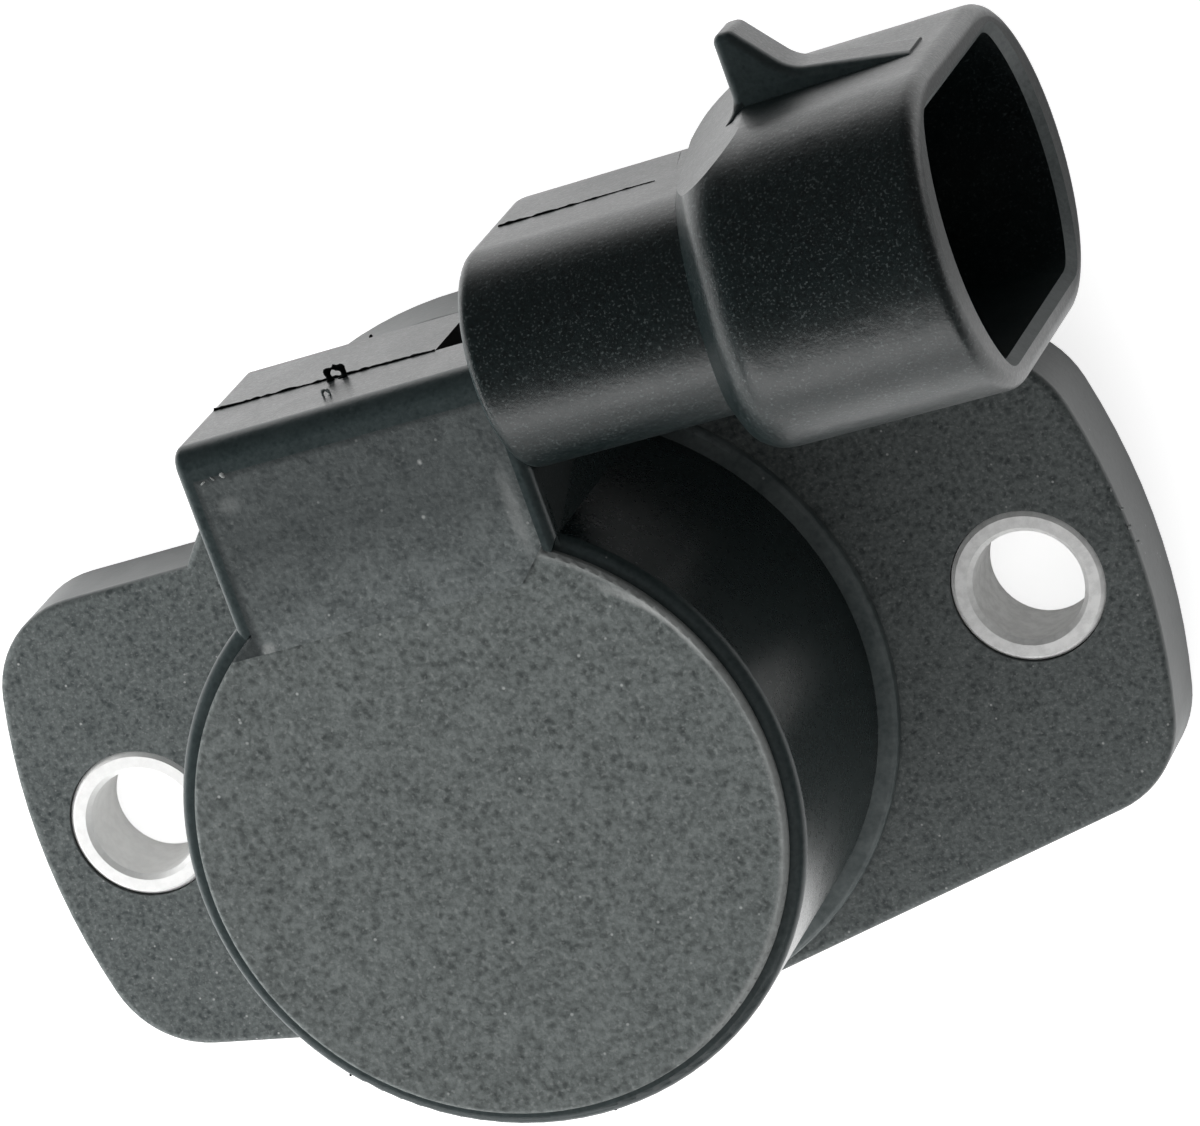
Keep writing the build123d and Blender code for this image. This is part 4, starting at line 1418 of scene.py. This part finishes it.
@dataclass
class Studio:
    """White floor in a dim room, lit by soft lamps."""

    ambient: float = 0.5
    ambient_far: float = 0.12
    ambient_lean: Point = (-0.55, -0.55, 0.63)
    ambient_span: Span = (-0.5, 0.6)
    room_gloss: float = 0.08
    horizon_gloss: float = 0.8
    horizon_front: Span = (-0.7, -0.1)
    horizon_top: float = 0.4
    floor_z_mm: float = -0.05
    floor_size: float = 3.0
    floor_albedo: float = 0.75
    far_albedo: float = 0.02
    floor_edge_mm: Span = (50.0, 95.0)
    camera_glow: float = 0.75
    gloss_glow: float = 1.0
    shade_reach: float = 0.006
    shade_samples: int = 4
    shade_x_mm: Span = (3.0, 9.0)
    shade_y_mm: Span = (9.0, 16.0)
    shade_end_mm: Span = (27.0, 31.0)
    aim_mm: Point = (0.0, 6.0, 12.0)
    lamps: List[SoftLamp] = field(
        default_factory=lambda: [
            SoftLamp("side_box", (-0.93, -0.1, 0.31), 0.5, 0.6, 0.3, 4.2, in_gloss=False),
            SoftLamp("edge_strip", (-0.97, -0.1, 0.16), 0.5, 0.5, 0.05, 0.32, in_diffuse=False),
            SoftLamp("low_box", (-0.33, -0.76, 0.57), 0.5, 0.5, 0.24, 1.15),
        ]
    )

    def build(self) -> None:
        """Make the world, the floor and the lamps."""
        self.world()
        self.floor()
        for lamp in self.lamps:
            lamp.build(Vector(self.aim_mm) * MM)
        bpy.context.scene.view_settings.view_transform = "Standard"

    @staticmethod
    def layered(wire: Wiring, share: Any, under: Any, over: Any) -> Any:
        """Mix two shaders.

        Args:
            wire: Wiring of the tree.
            share: Share of the second shader.
            under: First shader's socket.
            over: Second shader's socket.

        Returns:
            The mixed shader's socket.
        """
        mixed = wire.add(NodeKind.MIX_SHADER)
        for index, socket in enumerate((share, under, over)):
            wire.join(socket, mixed.inputs[index])
        return mixed.outputs[0]

    def world(self) -> None:
        """Make a room that looks white, lights at a plain level and is dim in reflections from above."""
        made = bpy.data.worlds.new("dim_room")
        wire = Wiring.fresh(made)
        heading = wire.add(NodeKind.COORDINATES).outputs["Generated"]
        _, ahead, above = wire.split(heading)
        front = wire.ramp(ahead, *self.horizon_front, self.horizon_gloss, 0.0)
        low = wire.ramp(above, 0.0, self.horizon_top, 1.0, 0.0)
        level = wire.plus(wire.times(front, low), self.room_gloss)
        lean = wire.add(NodeKind.VECTOR_MATH, operation="DOT_PRODUCT")
        wire.give(lean.inputs[0], heading)
        wire.give(lean.inputs[1], self.ambient_lean)
        around = wire.ramp(lean.outputs["Value"], *self.ambient_span, self.ambient_far, self.ambient)
        light, gloss, plain = (
            wire.feed(wire.add(NodeKind.BACKGROUND), Color=WHITE, Strength=strength).outputs[0]
            for strength in (around, level, 1.0)
        )
        path = wire.add(NodeKind.LIGHT_PATH)
        lit = self.layered(wire, path.outputs["Is Glossy Ray"], light, gloss)
        seen = wire.math("MAXIMUM", path.outputs["Is Camera Ray"], path.outputs["Is Transmission Ray"])
        leave = wire.add(NodeKind.WORLD_OUTPUT)
        wire.join(self.layered(wire, seen, lit, plain), leave.inputs["Surface"])
        bpy.context.scene.world = made

    def floor(self) -> None:
        """Make the pale floor, which keeps the shadow of the object."""
        bm = bmesh.new()
        bmesh.ops.create_grid(bm, x_segments=1, y_segments=1, size=self.floor_size / 2)
        bmesh.ops.translate(bm, verts=bm.verts, vec=(0.0, 0.0, self.floor_z_mm * MM))
        mesh = bpy.data.meshes.new("pale_floor")
        bm.to_mesh(mesh)
        bm.free()
        made = bpy.data.objects.new("pale_floor", mesh)
        bpy.context.scene.collection.objects.link(made)
        mesh.materials.append(self.floor_paint())

    def floor_paint(self) -> Material:
        """Make the floor's paint: pale near the object, white to the camera, with painted shadow in what
        reflections see under the object.

        Returns:
            The material.
        """
        paint = bpy.data.materials.new("pale_floor")
        wire = Wiring.fresh(paint)
        across, along, _ = wire.split(wire.add(NodeKind.COORDINATES).outputs["Object"])
        edge, beside_x, under_y, end_y = (
            [value * MM for value in span]
            for span in (self.floor_edge_mm, self.shade_x_mm, self.shade_y_mm, self.shade_end_mm)
        )
        near = wire.ramp(along, *edge, 1.0, 0.0)
        colour = wire.blend(near, (self.far_albedo,) * 3, (self.floor_albedo,) * 3)
        matt = wire.feed(wire.add(NodeKind.DIFFUSE), Color=colour)
        path = wire.add(NodeKind.LIGHT_PATH)
        seen = wire.math("MAXIMUM", path.outputs["Is Camera Ray"], path.outputs["Is Transmission Ray"])
        far = wire.math("SUBTRACT", 1.0, near)
        to_camera = wire.times(seen, wire.plus(far, self.camera_glow))
        open_sky = wire.add(NodeKind.OCCLUSION, samples=self.shade_samples)
        wire.feed(open_sky, Distance=self.shade_reach)
        # Painted shadow: the glow that reflections see is darkened in a patch under the connector and by
        # occlusion near the object.
        beside = wire.ramp(across, *beside_x)
        under = wire.ramp(along, *under_y)
        beyond = wire.ramp(along, *end_y, 1.0, 0.0)
        painted_shadow = wire.times(beside, wire.times(under, beyond))
        unshadowed_floor = wire.times(near, wire.math("SUBTRACT", 1.0, painted_shadow))
        lit = wire.times(unshadowed_floor, open_sky.outputs["AO"])
        lit = wire.times(lit, self.gloss_glow)
        to_gloss = wire.times(path.outputs["Is Glossy Ray"], lit)
        strength = wire.plus(to_camera, to_gloss)
        glow = wire.feed(wire.add(NodeKind.EMISSION), Color=WHITE, Strength=strength)
        both = wire.add(NodeKind.ADD_SHADER)
        wire.join(matt.outputs[0], both.inputs[0])
        wire.join(glow.outputs[0], both.inputs[1])
        leave = wire.add(NodeKind.OUTPUT)
        wire.join(both.outputs[0], leave.inputs["Surface"])
        return paint


def main() -> None:
    """Build the camera, the studio and every piece."""
    logging.basicConfig(level=logging.INFO, format="%(name)s: %(message)s")
    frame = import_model()
    Camera().build()
    Studio().build()
    shop = Workshop(frame["nodes"])
    for assembly in (Housing(shop), Cover(shop), FixedInside(shop), TurningInside(shop)):
        assembly.build()


if __name__ == "__main__":
    main()
